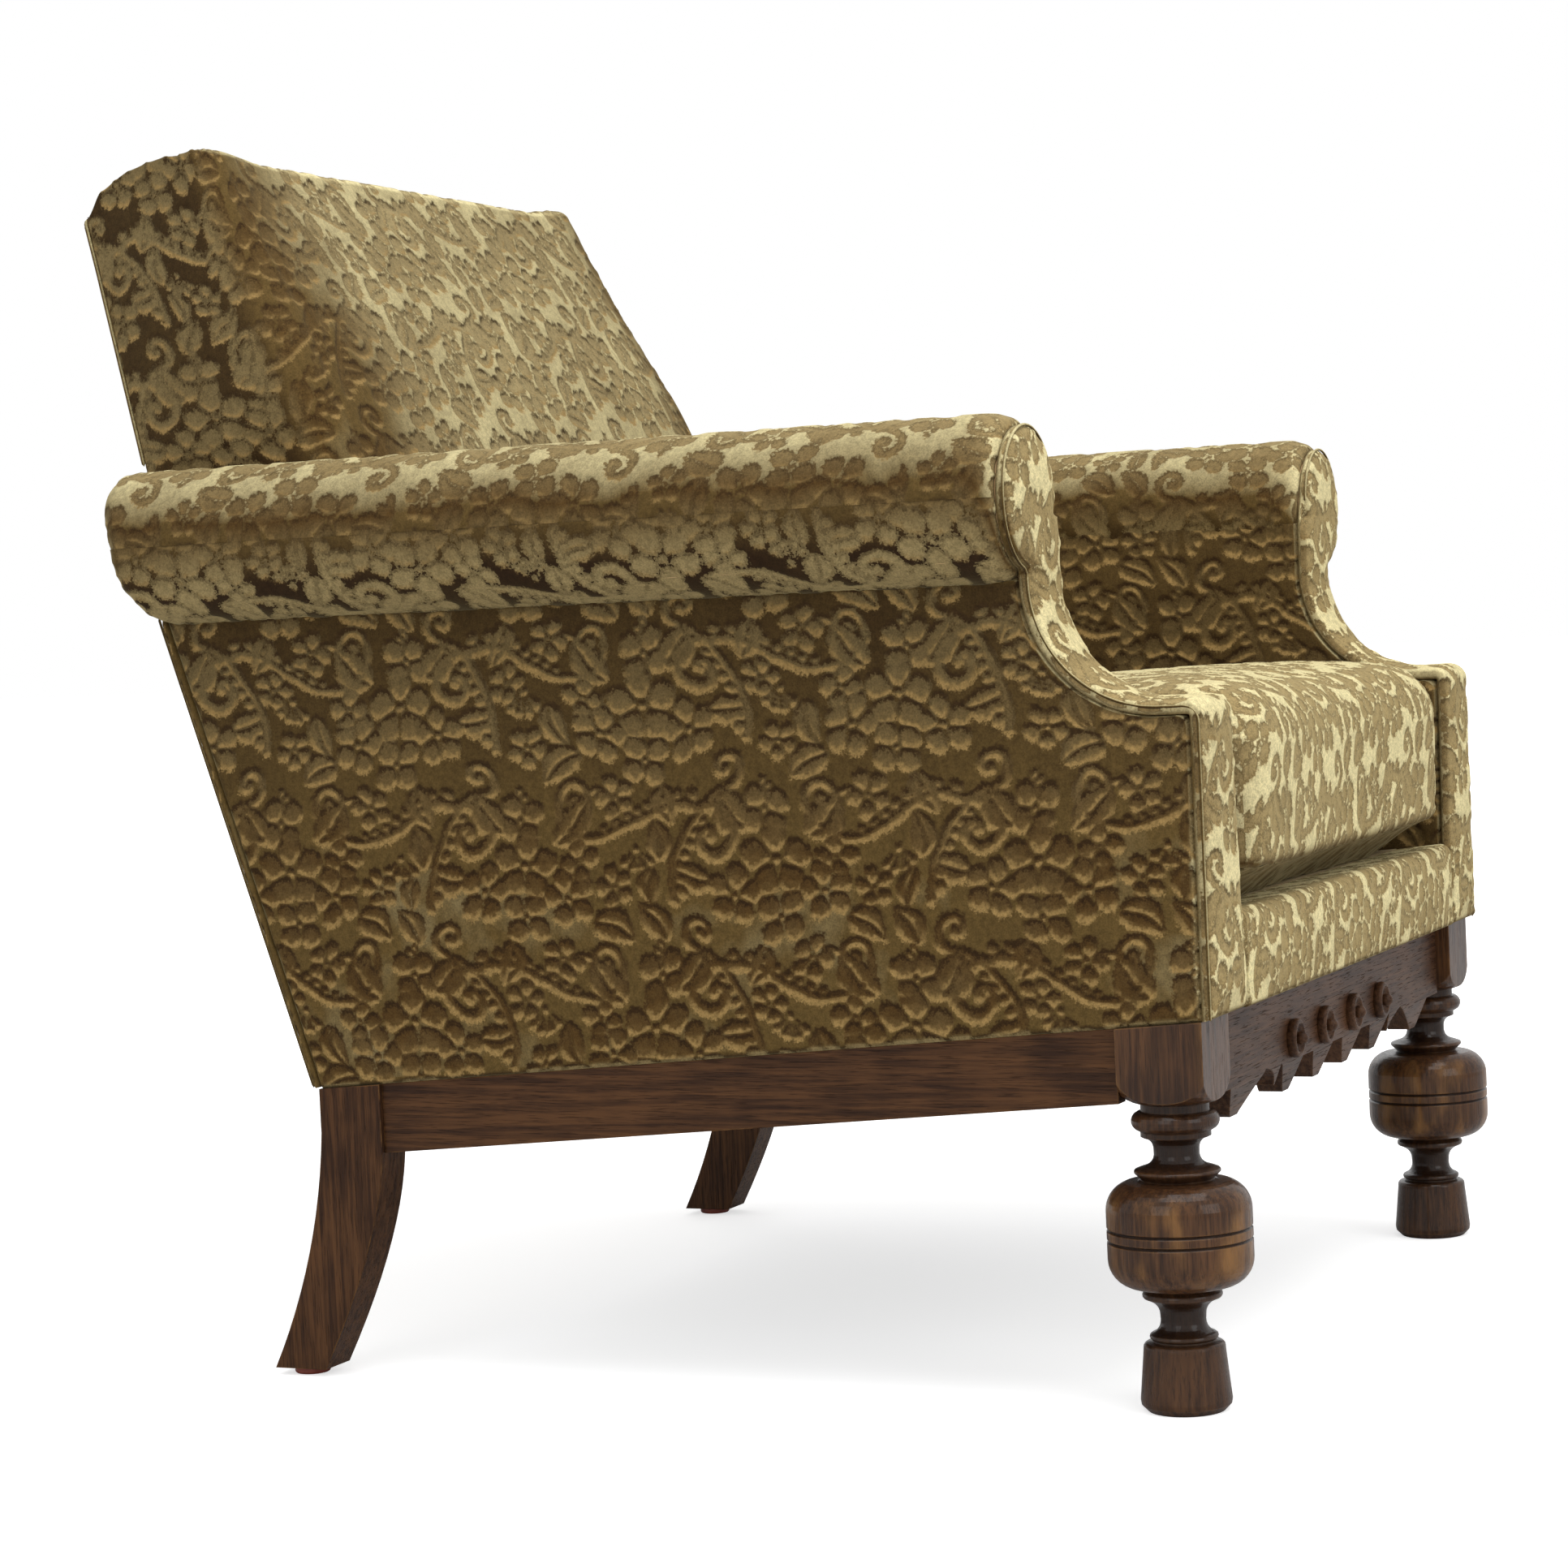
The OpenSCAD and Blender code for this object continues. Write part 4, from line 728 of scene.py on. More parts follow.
def wood_material(name, axis, dark, light, wear_and_painted_shade, gloss, coat=0.0, turned=False, rubbed=0.6):
    """Wood with grain along one axis, rubbed edges and a finish of the given roughness."""
    mat, tree, shader, place = new_material(name)
    turn = {"X": (0, math.pi / 2, 0), "Y": (math.pi / 2, 0, 0), "Z": (0, 0, 0)}[axis]
    grain = effect(tree, "Oak grain", {"Place": VECTOR, "Dark": COLOUR, "Light": COLOUR},
                   {"Colour": COLOUR, "Pores": FLOAT, "Height": FLOAT}, grain_effect,
                   (mapped(tree, place, Rotation=turn), (*dark, 1), (*light, 1)))
    edges = effect(tree, "Rubbed edges", {"Place": VECTOR, "Width": FLOAT}, {"Wear": FLOAT, "Normal": VECTOR},
                   wear_effect, (place, EDGE_W))
    amount = product(tree, edges["Wear"], rubbed)
    colour = grain["Colour"]
    if turned:
        used, hollow_darkening = turning_wear_and_hollows(tree, place)
        colour = mix(tree, product(tree, used, 0.8), colour, wear_and_painted_shade)
        colour = mix(tree, hollow_darkening, colour, DARK_BROWN)
        amount = product(tree, amount, maths(tree, "SUBTRACT", 1.0, hollow_darkening))
    wire(tree, shader, {
        "Base Color": mix(tree, amount, colour, wear_and_painted_shade),
        "Roughness": between(tree, grain["Pores"], 0.0, 1.0, gloss, min(1.0, gloss + 0.3)),
        "Normal": bump(tree, grain["Height"], 0.6, 0.0003, Normal=edges["Normal"]),
        "Coat Weight": coat, "Coat Roughness": 0.1, "Specular IOR Level": MATTE})
    return mat


def plain_cloth_material(name, light, dark, pitch):
    """Plain weave of the given thread pitch, on object coordinates."""
    mat, tree, shader, place = new_material(name)
    thread = {"Vector": place, "Scale": 0.314 / pitch, "Distortion": 0.4, "Detail": 1.0}
    warp, weft = (node(tree, "ShaderNodeTexWave", thread, bands_direction=d).outputs["Fac"] for d in ("X", "Y"))
    weave = product(tree, warp, weft)
    tone = total(tree, product(tree, weave, 0.7), product(tree, noise(tree, place, 40.0), 0.4))
    wire(tree, shader, {"Base Color": mix(tree, between(tree, tone, 0.1, 0.8), dark, light), "Roughness": 0.92,
                        "Normal": bump(tree, weave, 0.6, 0.0005)})
    return mat


def metal_material(name, colour, roughness, metallic):
    """Steel wire or moulded plastic with a little unevenness."""
    mat, tree, shader, place = new_material(name)
    cloud = noise(tree, place, 120.0)
    wire(tree, shader, {"Base Color": mix(tree, between(tree, cloud, 0.35, 0.7), colour, [c * 0.6 for c in colour]),
                        "Roughness": between(tree, cloud, 0.3, 0.7, roughness, roughness + 0.2), "Metallic": metallic})
    return mat


# ---------------------------------------------------------------- shapes of the covers


def arm_front(inset, top, rounding=0.006):
    """Front edge of an arm in depth and height: up the post, over the shoulder, round the sweep and up the neck."""
    y, z = FRONT_Y + inset, SHOULDER_Z - inset
    sweep = arc((SWEEP_Y, SWEEP_Z), SWEEP_R + inset, -90, 0, 60)
    end = SCROLL_Y + inset
    if top <= SWEEP_Z:
        end = SWEEP_Y + math.sqrt((SWEEP_R + inset) ** 2 - (SWEEP_Z - top) ** 2)
    return np.vstack([[[y, base_z(y)], [y, z - rounding]], arc((y + rounding, z - rounding), rounding, 180, 90, 8),
                      sweep[sweep[:, 1] <= top], [[end, top]]])


def side_cover(pitch):
    """Outside panel of an arm: straight lines from the front edge to the raked rear edge, padded by a shallow crown."""
    pitch *= SPACING["outside_arm"]
    top = ROLL_Z - ROLL_R + 0.004
    front = along(arm_front(FACING_T, top), int(0.345 / pitch))
    foot = rear_foot(0, COVER_T)
    rear = along([[foot, base_z(foot)], [rear_line(top, COVER_T), top]], len(front))
    yz = ruled(front, rear, int(0.62 / pitch))
    face = points(HALF_W, yz[..., 0], yz[..., 1])
    d = border_distance(face)
    face[..., 0] += 0.0018 * smooth(d / 0.09) - rolled_edge(d, 0.0035)
    back = [np.c_[np.full(len(e), FRAME_X + 0.0003), e] for e in (front, rear)]
    return face, yz + [0.02, 0.0], (0, 0.25, 0.4), back


def roll_rings(pitch):
    """Rolled arm: circles that swell over the nose, run back as a cylinder and close over the raked rear end.

    The rear edge is a quarter circle. It is tighter, and the cylinder 1.5 mm fuller, where the cover passes round
    the two lower corners of the rail inside."""
    pitch *= SPACING["roll"]
    start = SCROLL_Y + FACING_T
    nose = bend([start, FACE_R], [start + 0.001, ROLL_R], [SCROLL_Y + ROLL_NOSE, ROLL_R], 14)
    mouth = np.c_[np.full(6, start), np.linspace(0.001, FACE_R, 6, endpoint=False)]
    front = np.vstack([mouth, nose])
    phi = np.linspace(0, 2 * np.pi, int(2 * np.pi * ROLL_R / pitch) + 1)
    c, s = np.cos(phi), np.sin(phi)
    y0, r0 = (np.repeat(front[:, k:k + 1], len(phi), 1) for k in range(2))
    corner = 2 * np.clip(-s, 0, 1) * np.abs(c)
    turn, full = ROLL_TAIL - 0.009 * smooth(corner / 0.8), ROLL_R + 0.0015 * corner
    a = np.radians(np.linspace(0, 90, 14))[:, None]
    r2 = np.vstack([full - turn * (1 - np.cos(a)), (full - turn) * np.linspace(1, 0.01, 13)[1:, None]])
    drop = np.vstack([-turn * (1 - np.sin(a)), np.zeros((12, len(phi)))])
    y2 = rear_line(ROLL_Z + r2 * s) + drop
    t = np.linspace(0, 1, int(0.55 / pitch))[1:-1, None]
    y = np.vstack([y0, y0[-1] * (1 - t) + y2[0] * t, y2])
    r = np.vstack([r0, ROLL_R + (full - ROLL_R) * smooth((t - 0.9) / 0.1), r2])
    face = points(ROLL_X + r * c, y, ROLL_Z + r * s)
    around = (phi - np.pi) * ROLL_R + 0.55
    return face, points(steps(face, 0), -around), (ROLL_X, 0.35, ROLL_Z)


def inner_arm(pitch):
    """Inside of an arm: a leaning face from the seat up to the roll, its front edge turned in behind the facing."""
    pitch *= SPACING["inside_arm"]
    top, foot = 0.546, 0.52
    front = arm_front(FACING_T, top)
    low = base_z(0) + SEAT_TOP + HESSIAN_T
    front = np.vstack([[front[0, 0], low + 0.003], front[front[:, 1] > low + 0.004]])
    front = along(front, int(0.40 / pitch))
    rear = [[foot, base_z(foot) + SEAT_TOP + HESSIAN_T + 0.001], [rear_line(top, 0.075), top]]
    rear = along(rear, len(front))
    yz = ruled(front, rear, int(0.56 / pitch))
    y, z = yz[..., 0], yz[..., 1]
    face = points(arm_in(z), y, z)
    s = steps(face, 1)
    face[..., 0] += rolled_edge(s, 0.004) - 0.003 * smooth(s / 0.08) * smooth((top - z) / 0.05)
    back = [np.c_[np.full(len(e), FRAME_X - 0.029), e] for e in (front, rear)]
    return face, points(y, z + 0.55 - ROLL_Z), (0.5, 0.25, 0.4), back


def facing_strip(pitch):
    """Front facing: a band that follows the arm's front edge and widens into the round scroll face.

    Each row runs across from the inner to the outer edge; the edge is the outline of the band and the disc together."""
    pitch *= SPACING["facing"]
    path = along(arm_front(0, SWEEP_Z + 0.0001, FACING_ROUND), int(0.33 / pitch))
    tangent = unit(np.gradient(path, axis=0))
    top = ROLL_Z + FACE_R
    z = top - (top - SWEEP_Z) * (1 - np.sin(np.linspace(0, np.pi / 2, 64)[1:]))
    out = np.vstack([np.c_[-tangent[:, 1], tangent[:, 0]], np.tile([-1.0, 0.0], (len(z), 1))])
    path = np.vstack([path, np.c_[np.full(len(z), SCROLL_Y), z]])
    h = path[:, 1]
    disc = np.sqrt(np.clip(FACE_R**2 - (h - ROLL_Z) ** 2, 0, None))
    blend = smooth((h - ROLL_Z + 0.02) / 0.03)
    x_in = arm_in(h) * (1 - blend) + (ROLL_X - disc) * blend
    x_out = np.where(h > ROLL_Z, ROLL_X + disc, np.maximum(HALF_W, ROLL_X + disc))
    x_out = np.where(h < ROLL_Z - FACE_R, HALF_W, x_out)
    x = ruled(x_in[:, None], x_out[:, None], int(0.075 / pitch))[..., 0]
    s = lengths(path)[:, None]
    h = h[:, None]
    from_edge = np.minimum(x - x_in[:, None], x_out[:, None] - x)
    in_disc = FACE_R - np.hypot(x - ROLL_X, h - ROLL_Z)
    d = np.where(h > ROLL_Z - 0.01, np.maximum(in_disc, 0), np.maximum(from_edge, in_disc))
    d = np.minimum(d, s)
    lift = 0.003 * smooth(d / 0.020) - rolled_edge(d, 0.005)
    face = points(x, path[:, :1] + out[:, :1] * lift, path[:, 1:] + out[:, 1:] * lift)
    behind = path - out * (FACING_T - 0.0005)
    return face, points(x, s), (0.3, 0.12, 0.45), [np.c_[e, behind] for e in (x_in, x_out)]


def border_strip(pitch):
    """Front border below the cushion: a profile up the front and back over the top, carried across the chair."""
    r, hem = 0.008, 0.003
    y0, back_y = FRONT_Y, FRONT_Y + FACING_T + 0.033
    low, top = base_z(y0), base_z(y0) + BORDER_H
    profile = np.vstack([arc((y0 + hem, low + hem), hem, 270, 180, 4), arc((y0 + r, top - r), r, 180, 94, 10),
                         [[back_y, base_z(back_y) + BORDER_H - 0.0005]]])
    profile = along(profile, int(0.11 / pitch))
    half = FACING_IN - SOFT_GAP
    x = np.linspace(-half, half, int(2 * half / pitch))
    face = points(x[:, None], profile[:, 0], profile[:, 1])
    s = steps(face, 1)
    bulge = 0.0025 * np.sin(np.clip(s / BORDER_H, 0, 1) * np.pi)
    face[..., 1] -= bulge * smooth(border_distance(face, False) / 0.03)
    back = [points(x, y0 + 0.0078, low + 0.001), points(x, back_y, top - 0.006)]
    return face, points(face[..., 0], s), (0, 0.05, 0.27), back


def cushion_section():
    """Section of the cushion's upper cloth, as reach from the middle and height over the deck.

    A parabola for the crown, an arc of 38 mm over the shoulder, a side that leans in by 2 degrees and an arc of
    9 mm round to the seam at the lower edge."""
    edge, tall, drop, r, hem_r, lean = 0.236, 0.147, 0.014, 0.038, 0.009, 2
    x = np.linspace(0, edge, 40)
    crown = np.c_[x, tall - drop * (x / edge) ** 2]
    a0 = math.degrees(math.atan(2 * drop / edge))
    shoulder = arc((0, 0), r, 90 - a0, -lean, 23)
    shoulder += crown[-1] - shoulder[0]
    low = shoulder[-1] + (shoulder[-1, 1] - 0.026) * np.array([-math.tan(math.radians(lean)), -1])
    hem = arc((0, 0), hem_r, -lean, -60, 7)
    return np.vstack([crown, shoulder[1:], hem + low - hem[0]])


def cushion_shape(count, upper):
    """The loose cushion's upper or lower cloth on a square grid of parameters a and b.

    Rings of the square, the greater of |a| and |b|, become superellipse rings that follow the section outwards and
    down to the seam, so there is no pole. The lower cloth is flat where it rests and rises towards the seam. The
    top's pattern runs on down the front and the sides."""
    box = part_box("seat_cushion")
    y0, y1 = FRONT_Y - CUSHION_NOSE, box[1][1] + MID_Y
    half_x, half_y = box[1][0] - 0.003, (y1 - y0) / 2
    a, b = np.meshgrid(*[np.linspace(-1, 1, count)] * 2, indexing="ij")
    m = np.maximum(np.abs(a), np.abs(b))
    safe = np.maximum(m, 1e-9)
    ta, tb = a / safe, b / safe
    section = along(cushion_section(), 800)
    at = np.linspace(0, 1, 800)
    widest, seam = section[:, 0].max(), section[-1]
    if upper:
        s, h = np.interp(m, at, section[:, 0]) / widest, np.interp(m, at, section[:, 1])
        fall, behind = section[0, 1] - h, 0.0
    else:
        s, h = m * seam[0] / widest, seam[1] * smooth((m - 0.72) / 0.28) ** 1.5
        fall, behind = 0.0, 0.9
    power = 6 + 8 * m
    norm = np.maximum((np.abs(ta) ** power + np.abs(tb) ** power) ** (1 / power), 1e-9)
    drawn = 0.004 * np.cos(2 * np.arctan2(tb, ta)) ** 2 * m
    x = (half_x - drawn) * s * ta / norm
    y = (y0 + y1) / 2 + (half_y - drawn) * s * tb / norm
    sideways = np.abs(ta) > np.abs(tb)
    u, v = x + np.where(sideways, np.sign(ta) * fall, 0), y + np.where(sideways, 0, np.sign(tb) * fall)
    return points(x, y, base_z(y) + BORDER_H + SOFT_GAP + h), points(u, v + behind)


def swell(count):
    """Moves of the cushion's two cloths from a short cloth simulation under air pressure, as two grids.

    It runs on a coarse copy of both cloths sewn together, without weight. A move is limited to 9 mm by the
    hyperbolic tangent. The coarse moves are spread over the fine grid by cubic B-spline weights, and by straight
    ones beside the seam, where both cloths must agree."""
    n = 49
    coarse = [cushion_shape(n, upper)[0] - [0, MID_Y, 0] for upper in (True, False)]
    index = np.arange(2 * n * n).reshape(2, n, n)
    rim = np.ones((n, n), bool)
    rim[1:-1, 1:-1] = False
    index[1][rim] = index[0][rim]
    index[1][~rim] = n * n + np.arange((n - 2) ** 2)
    verts = np.vstack([coarse[0].reshape(-1, 3), coarse[1][~rim]])
    quads = [index[k].ravel()[grid_faces(n, n, k == 1)] for k in range(2)]
    obj = mesh_piece("cushion_filling", verts, np.vstack(quads), merge=0.0)
    cloth = obj.modifiers.new("Cloth", "CLOTH").settings
    cloth.quality = 6
    cloth.mass = 0.3
    cloth.use_pressure = True
    cloth.uniform_pressure_force = 4.0
    cloth.effector_weights.gravity = 0.0
    scene = bpy.context.scene
    for f in range(1, 21):
        scene.frame_set(f)
    moved = np.empty(verts.size, np.float32)
    obj.evaluated_get(bpy.context.evaluated_depsgraph_get()).data.vertices.foreach_get("co", moved)
    move = moved.reshape(-1, 3) - verts
    size = np.maximum(np.linalg.norm(move, axis=1, keepdims=True), 1e-9)
    move = move / size * SWELL_MAX * np.tanh(size / SWELL_MAX)
    scene.frame_set(1)
    bpy.data.objects.remove(obj)
    at = np.abs(np.linspace(0, n - 1, count)[:, None] - np.arange(n)[None])
    cubic = np.where(at < 1, 2 / 3 - at**2 + at**3 / 2, np.clip(2 - at, 0, 1) ** 3 / 6)
    cubic /= cubic.sum(1, keepdims=True)
    straight = np.clip(1 - at, 0, 1)
    a = np.abs(np.linspace(-1, 1, count))
    edge = smooth((np.maximum(a[:, None], a[None]) - 0.9) / 0.1)[..., None]
    out = []
    for k in range(2):
        curved, plain = (np.einsum("ai,bj,ijc->abc", w, w, move[index[k]], optimize=True) for w in (cubic, straight))
        out.append(curved * (1 - edge) + plain * edge)
    return out


def round_roll(half, h, r):
    """A half width cut back to a circle of radius r round the roll's axis, at a height h over that axis."""
    bite = ROLL_X - np.sqrt(np.clip(r * r - h * h, 0, None))
    return np.where(np.abs(h) < r, np.minimum(half, bite), half)


def pad_half(y, z):
    """Half width of the back at a point: along the arms below, round the rolls, and tapering above them."""
    q = (y - REAR_Y) * math.sin(RAKE) + (z - REAR_Z) * math.cos(RAKE)
    half = np.where(z > ROLL_Z, BACK_HALF + (BACK_LEN - q) * BACK_TAPER, arm_in(z) - SOFT_GAP)
    return round_roll(half, z - ROLL_Z, ROLL_R + 0.0008)


def roof_line(d):
    """Height of the back's top over its straight edge, by the distance before the rear plane: a shallow hump that
    turns down by 9 mm at the rear."""
    t = np.clip((d - ROOF_START) / ROOF_T, 0, 1)
    return 0.008 * (1 - (2 * t - 1) ** 2) - 0.009 * (1 - smooth(t / 0.2))


def back_wrap(pitch):
    """Cover of the back in one sheet: from the rear edge of one side round a soft corner, across the crowned front,
    round the other corner to the other rear edge; its upper rows turn over the top edge and run back over the roof.

    Columns follow that path; a point is given by its distance d before the rear plane and its length q up the rake.
    a is the angle of a column's outward direction, 0 forward, and k its share of the half width."""
    pitch *= SPACING["back"]
    n_side, n_corner, n_front = int(0.10 / pitch), 20, int(0.52 / pitch)
    quarter = np.linspace(0, np.pi / 2, n_corner)
    side = np.full(n_side, np.pi / 2)
    a = np.r_[side, quarter[::-1], np.zeros(n_front - 1), quarter, side]
    cols = len(a)
    edge = np.ones(n_side + n_corner)
    k = np.r_[-edge, np.linspace(-1, 1, n_front + 1)[1:-1], edge]
    hand = np.sign(k)
    to_corner = np.linspace(0, 1, n_side, endpoint=False)
    depth = np.r_[to_corner, np.zeros(cols - 2 * n_side), to_corner[::-1]]
    on_side = np.r_[np.ones(n_side), np.zeros(cols - 2 * n_side), np.ones(n_side)] > 0
    rise = ear(k) + roof_line(ROOF_START + ROOF_T * depth) * on_side
    growing = np.r_[np.full(n_side, 0.003), 0.003 + 0.011 * smooth(np.linspace(0, 1, n_corner))]
    edge_r = np.r_[growing, np.full(n_front - 1, 0.014), growing[::-1]]
    rows = int(0.60 / pitch)
    v = np.linspace(0, 1, rows)[:, None]
    foot_q = 0.025
    q = foot_q + (BACK_LEN + rise - edge_r - foot_q) * v
    front_d = BACK_TOP_T + (BACK_LEN - q) * math.tan(FRONT_RAKE)
    zf = raked(front_d, q)[1]
    front_d = front_d + (0.004 + 0.009 * smooth((1 - v) / 0.30)) * smooth((zf - 0.50) / 0.08)
    above = smooth((zf - ROLL_Z) / ROLL_R)
    r = 0.004 + 0.034 * above * (1 - 0.45 * smooth((v - 0.8) / 0.2))
    bulge = 0.009 * (1 - np.abs(k) ** 6) * (1 - (2 * v - 1) ** 4)
    d = front_d - r * (1 - np.cos(a)) + bulge
    d = np.where(on_side, ROOF_START + (front_d - r - ROOF_START) * depth, d)
    y, z = raked(d, q)
    w = pad_half(y, z) + 0.012 * smooth(d / front_d) * smooth((z - ROLL_Z - 0.03) / 0.08)
    x = np.where(a > 0, hand * (w - r * (1 - np.sin(a))), k * (w - r))
    side_swell = 0.004 * np.sin(np.pi * depth) * smooth((z - ROLL_Z - 0.03) / 0.05) * smooth((1 - v) / 0.15)
    x = x + hand * side_swell * on_side
    body = points(x, y, z)
    # Over the top edge: quarter circles that lean back along each column's outward direction.
    th = np.linspace(0, np.pi / 2, 10)[1:, None]
    xt, dt, qt = x[-1], d[-1], q[-1]
    back_off = edge_r * (1 - np.cos(th))
    xa, da, qa = xt - hand * np.sin(a) * back_off, dt - np.cos(a) * back_off, qt + edge_r * np.sin(th)
    # Roof: straight lines from that edge to the rear edge.
    path = lengths(np.c_[xt, dt])
    span = xt[-1]
    goal = (path / path[-1] * 2 - 1) * span
    t = np.linspace(0, 1, int(0.10 / pitch))[1:, None]
    xr, dr = xa[-1] * (1 - t) + goal * t, da[-1] * (1 - t) + ROOF_START * t
    qr = BACK_LEN + ear(np.clip(xr / span, -1, 1)) + roof_line(dr)
    whole = np.vstack([body, points(xa, *raked(da, qa)), points(xr, *raked(dr, qr))])
    across = lengths(whole[rows * 4 // 5])
    return whole, points(across - across[cols // 2], steps(whole, 0)), (0, 0.66, 0.5)


def rear_half(q):
    """Half width of the outside back at a length q up its rake: full below the rolls, cut round them, tapered above
    and drawn in by 2 mm behind the pad's edge."""
    low = ROLL_Q - ROLL_R * 1.05
    high = low + ROLL_R
    at_high = BACK_HALF + (BACK_LEN - high) * BACK_TAPER
    tapered = BACK_HALF + (BACK_LEN - q) * BACK_TAPER
    drawn_in = HALF_W + (at_high - HALF_W) * (q - low) / ROLL_R
    line = np.where(q < low, HALF_W, np.where(q < high, drawn_in, tapered))
    return round_roll(line - 0.002 * smooth((q - ROLL_Q) / 0.05), (q - ROLL_Q) * math.cos(RAKE), ROLL_R - 0.004)


def rear_panel(pitch):
    """Outside back: rows across the raked rear plane between its two edges, with a shallow crown."""
    pitch *= SPACING["outside_back"]
    q = np.linspace(0.0, PANEL_TOP, int(BACK_LEN / pitch))[:, None]
    t = np.linspace(-1, 1, int(2 * HALF_W / pitch))
    half = rear_half(q)
    x = half * t
    q2 = q + panel_rise(t, q)
    d = np.minimum(half - np.abs(x), np.minimum(q, q[-1] - q))
    lift = rolled_edge(d, 0.003) - 0.001 * smooth(d / 0.1)
    edge = np.c_[raked(0.0055, q2[:, 0])]
    back = [np.c_[s * half, edge] for s in (-1, 1)]
    return points(x, *raked(lift, q2)), points(x + 0.03, q2), (0, 0.3, 0.5), back


# ---------------------------------------------------------------- what a user would change


def number(name, description, default, low, high, **kind):
    """A setting that is a number, from low to high."""
    return bpy.props.FloatProperty(name=name, description=description, default=default, min=low, max=high, **kind)


def length(name, description, default, low, high):
    """A setting that is a small length, in metres."""
    return number(name, description, default, low, high, unit="LENGTH", precision=4)


def shade(name, description, r, g, b):
    """A setting that is a colour, its default written 0 to 255."""
    return bpy.props.FloatVectorProperty(name=name, description=description, default=srgb(r, g, b), size=3, min=0,
                                         max=1, subtype="COLOR")


class VelourSettings(bpy.types.PropertyGroup):
    """Sizes and colours of the velour and its covers."""

    pattern_scale: number("Pattern scale", "Size of the repeat, 1 is 168 by 196 mm", 1.05, 0.3, 3)
    pile_depth: length("Pressed depth", "How deep the motif is pressed into the pile", 0.0012, 0, 0.004)
    mesh_pitch: length("Mesh pitch", "Spacing of the covers' vertices", 0.0015, 0.001, 0.01)
    seam_radius: length("Seam radius", "Radius of the raised seams", 0.0009, 0.0004, 0.005)
    sheen: number("Sheen", "Brightness of the pile seen along the surface", 0.35, 0, 1, subtype="FACTOR")
    brushing: number("Brushing", "Unevenness of the stroked pile", 0.3, 0, 2)
    # Strength of the painted highlights and painted shade on the motif's rims
    rim: number("Rims", "Strength of the light and dark rims of the motif", 0.9, 0, 1, subtype="FACTOR")
    # Lit, sideways and shaded copies of the ground's and the motif's colours, for painted light and painted shade
    ground_painted_lit: shade("Ground, facing the light", "Shade of the ground on upward and forward faces", 220, 207, 158)
    ground_painted_sideways: shade("Ground, sideways", "Shade of the ground on side faces", 92, 73, 39)
    ground_painted_shade: shade("Ground, downward", "Shade of the ground on faces that look down", 42, 27, 13)
    motif_painted_lit: shade("Motif, facing the light", "Shade of the motif on upward and forward faces", 156, 136, 93)
    motif_painted_sideways: shade("Motif, sideways", "Shade of the motif on side faces", 77, 56, 27)
    motif_painted_downward: shade("Motif, downward", "Shade of the motif on faces that look down", 140, 123, 84)
    # Colours of the painted highlights and painted shade on the motif's rims
    rim_painted_highlight: shade("Light rim", "Colour of rims that face up", 148, 121, 74)
    rim_painted_shade: shade("Dark rim", "Colour of rims that face down", 48, 32, 15)


class OakSettings(bpy.types.PropertyGroup):
    """Colours and gloss of the wood."""

    oak_dark: shade("Oak, dark", "Darker tone of the stained oak", 48, 29, 17)
    oak_light: shade("Oak, light", "Lighter tone of the stained oak", 88, 58, 34)
    oak_carved: shade("Oak, carved", "Lighter tone of the dark apron and its rosettes", 86, 59, 40)
    oak_worn: shade("Oak, worn", "Bare wood on rubbed edges", 138, 98, 54)
    beech_dark: shade("Beech, dark", "Darker tone of the frame's beech", 176, 138, 96)
    beech_light: shade("Beech, light", "Lighter tone of the frame's beech", 212, 178, 134)
    gloss: number("Roughness", "Roughness of the oak's finish", 0.42, 0, 1, subtype="FACTOR")


class StageSettings(bpy.types.PropertyGroup):
    """Camera, lamps and floor."""

    lens: number("Focal length", "Focal length on a 36 mm frame", 83.85, 10, 300)
    key: number("Top lamp", "Power of the soft box above the chair", 42, 0, 500, unit="POWER")
    fill: number("Side lamps", "Power of the soft boxes beside the chair", 16, 0, 500, unit="POWER")
    sky: number("Room light", "Strength of the even light from all round", 0.55, 0, 3)
    floor: bpy.props.FloatVectorProperty(name="Floor", description="Colour of the floor", default=(0.85, 0.85, 0.85),
                                         size=3, min=0, max=1, subtype="COLOR")


# ---------------------------------------------------------------- operators


class CHAIR_OT_side_panels(bpy.types.Operator):
    """Covers the outsides of both arms"""

    bl_idname = "chair.side_panels"
    bl_label = "Outside arm covers"

    def execute(self, context):
        shape = side_cover(context.scene.chair_velour.mesh_pitch)
        contrast = 1 - 0.45 * smooth((shape[0][..., 2] - 0.33) / 0.15)
        for name, side in SIDES.items():
            obj = cover("outside_arm_cover_" + name, *shape, side, painted_light=outside_arm_painted_light, contrast=contrast)
            finish_piece(obj, "chair", ["side_panel_" + name])
        return {"FINISHED"}


class CHAIR_OT_rolled_arms(bpy.types.Operator):
    """Makes both rolled arms"""

    bl_idname = "chair.rolled_arms"
    bl_label = "Rolled arms"

    def execute(self, context):
        shape = roll_rings(context.scene.chair_velour.mesh_pitch)
        for name, side in SIDES.items():
            obj = cover("rolled_arm_" + name, *shape, None, side, True, (False, False), roll_painted_light, rims=0.45)
            finish_piece(obj, "chair", ["arm_roll_" + name])
        return {"FINISHED"}


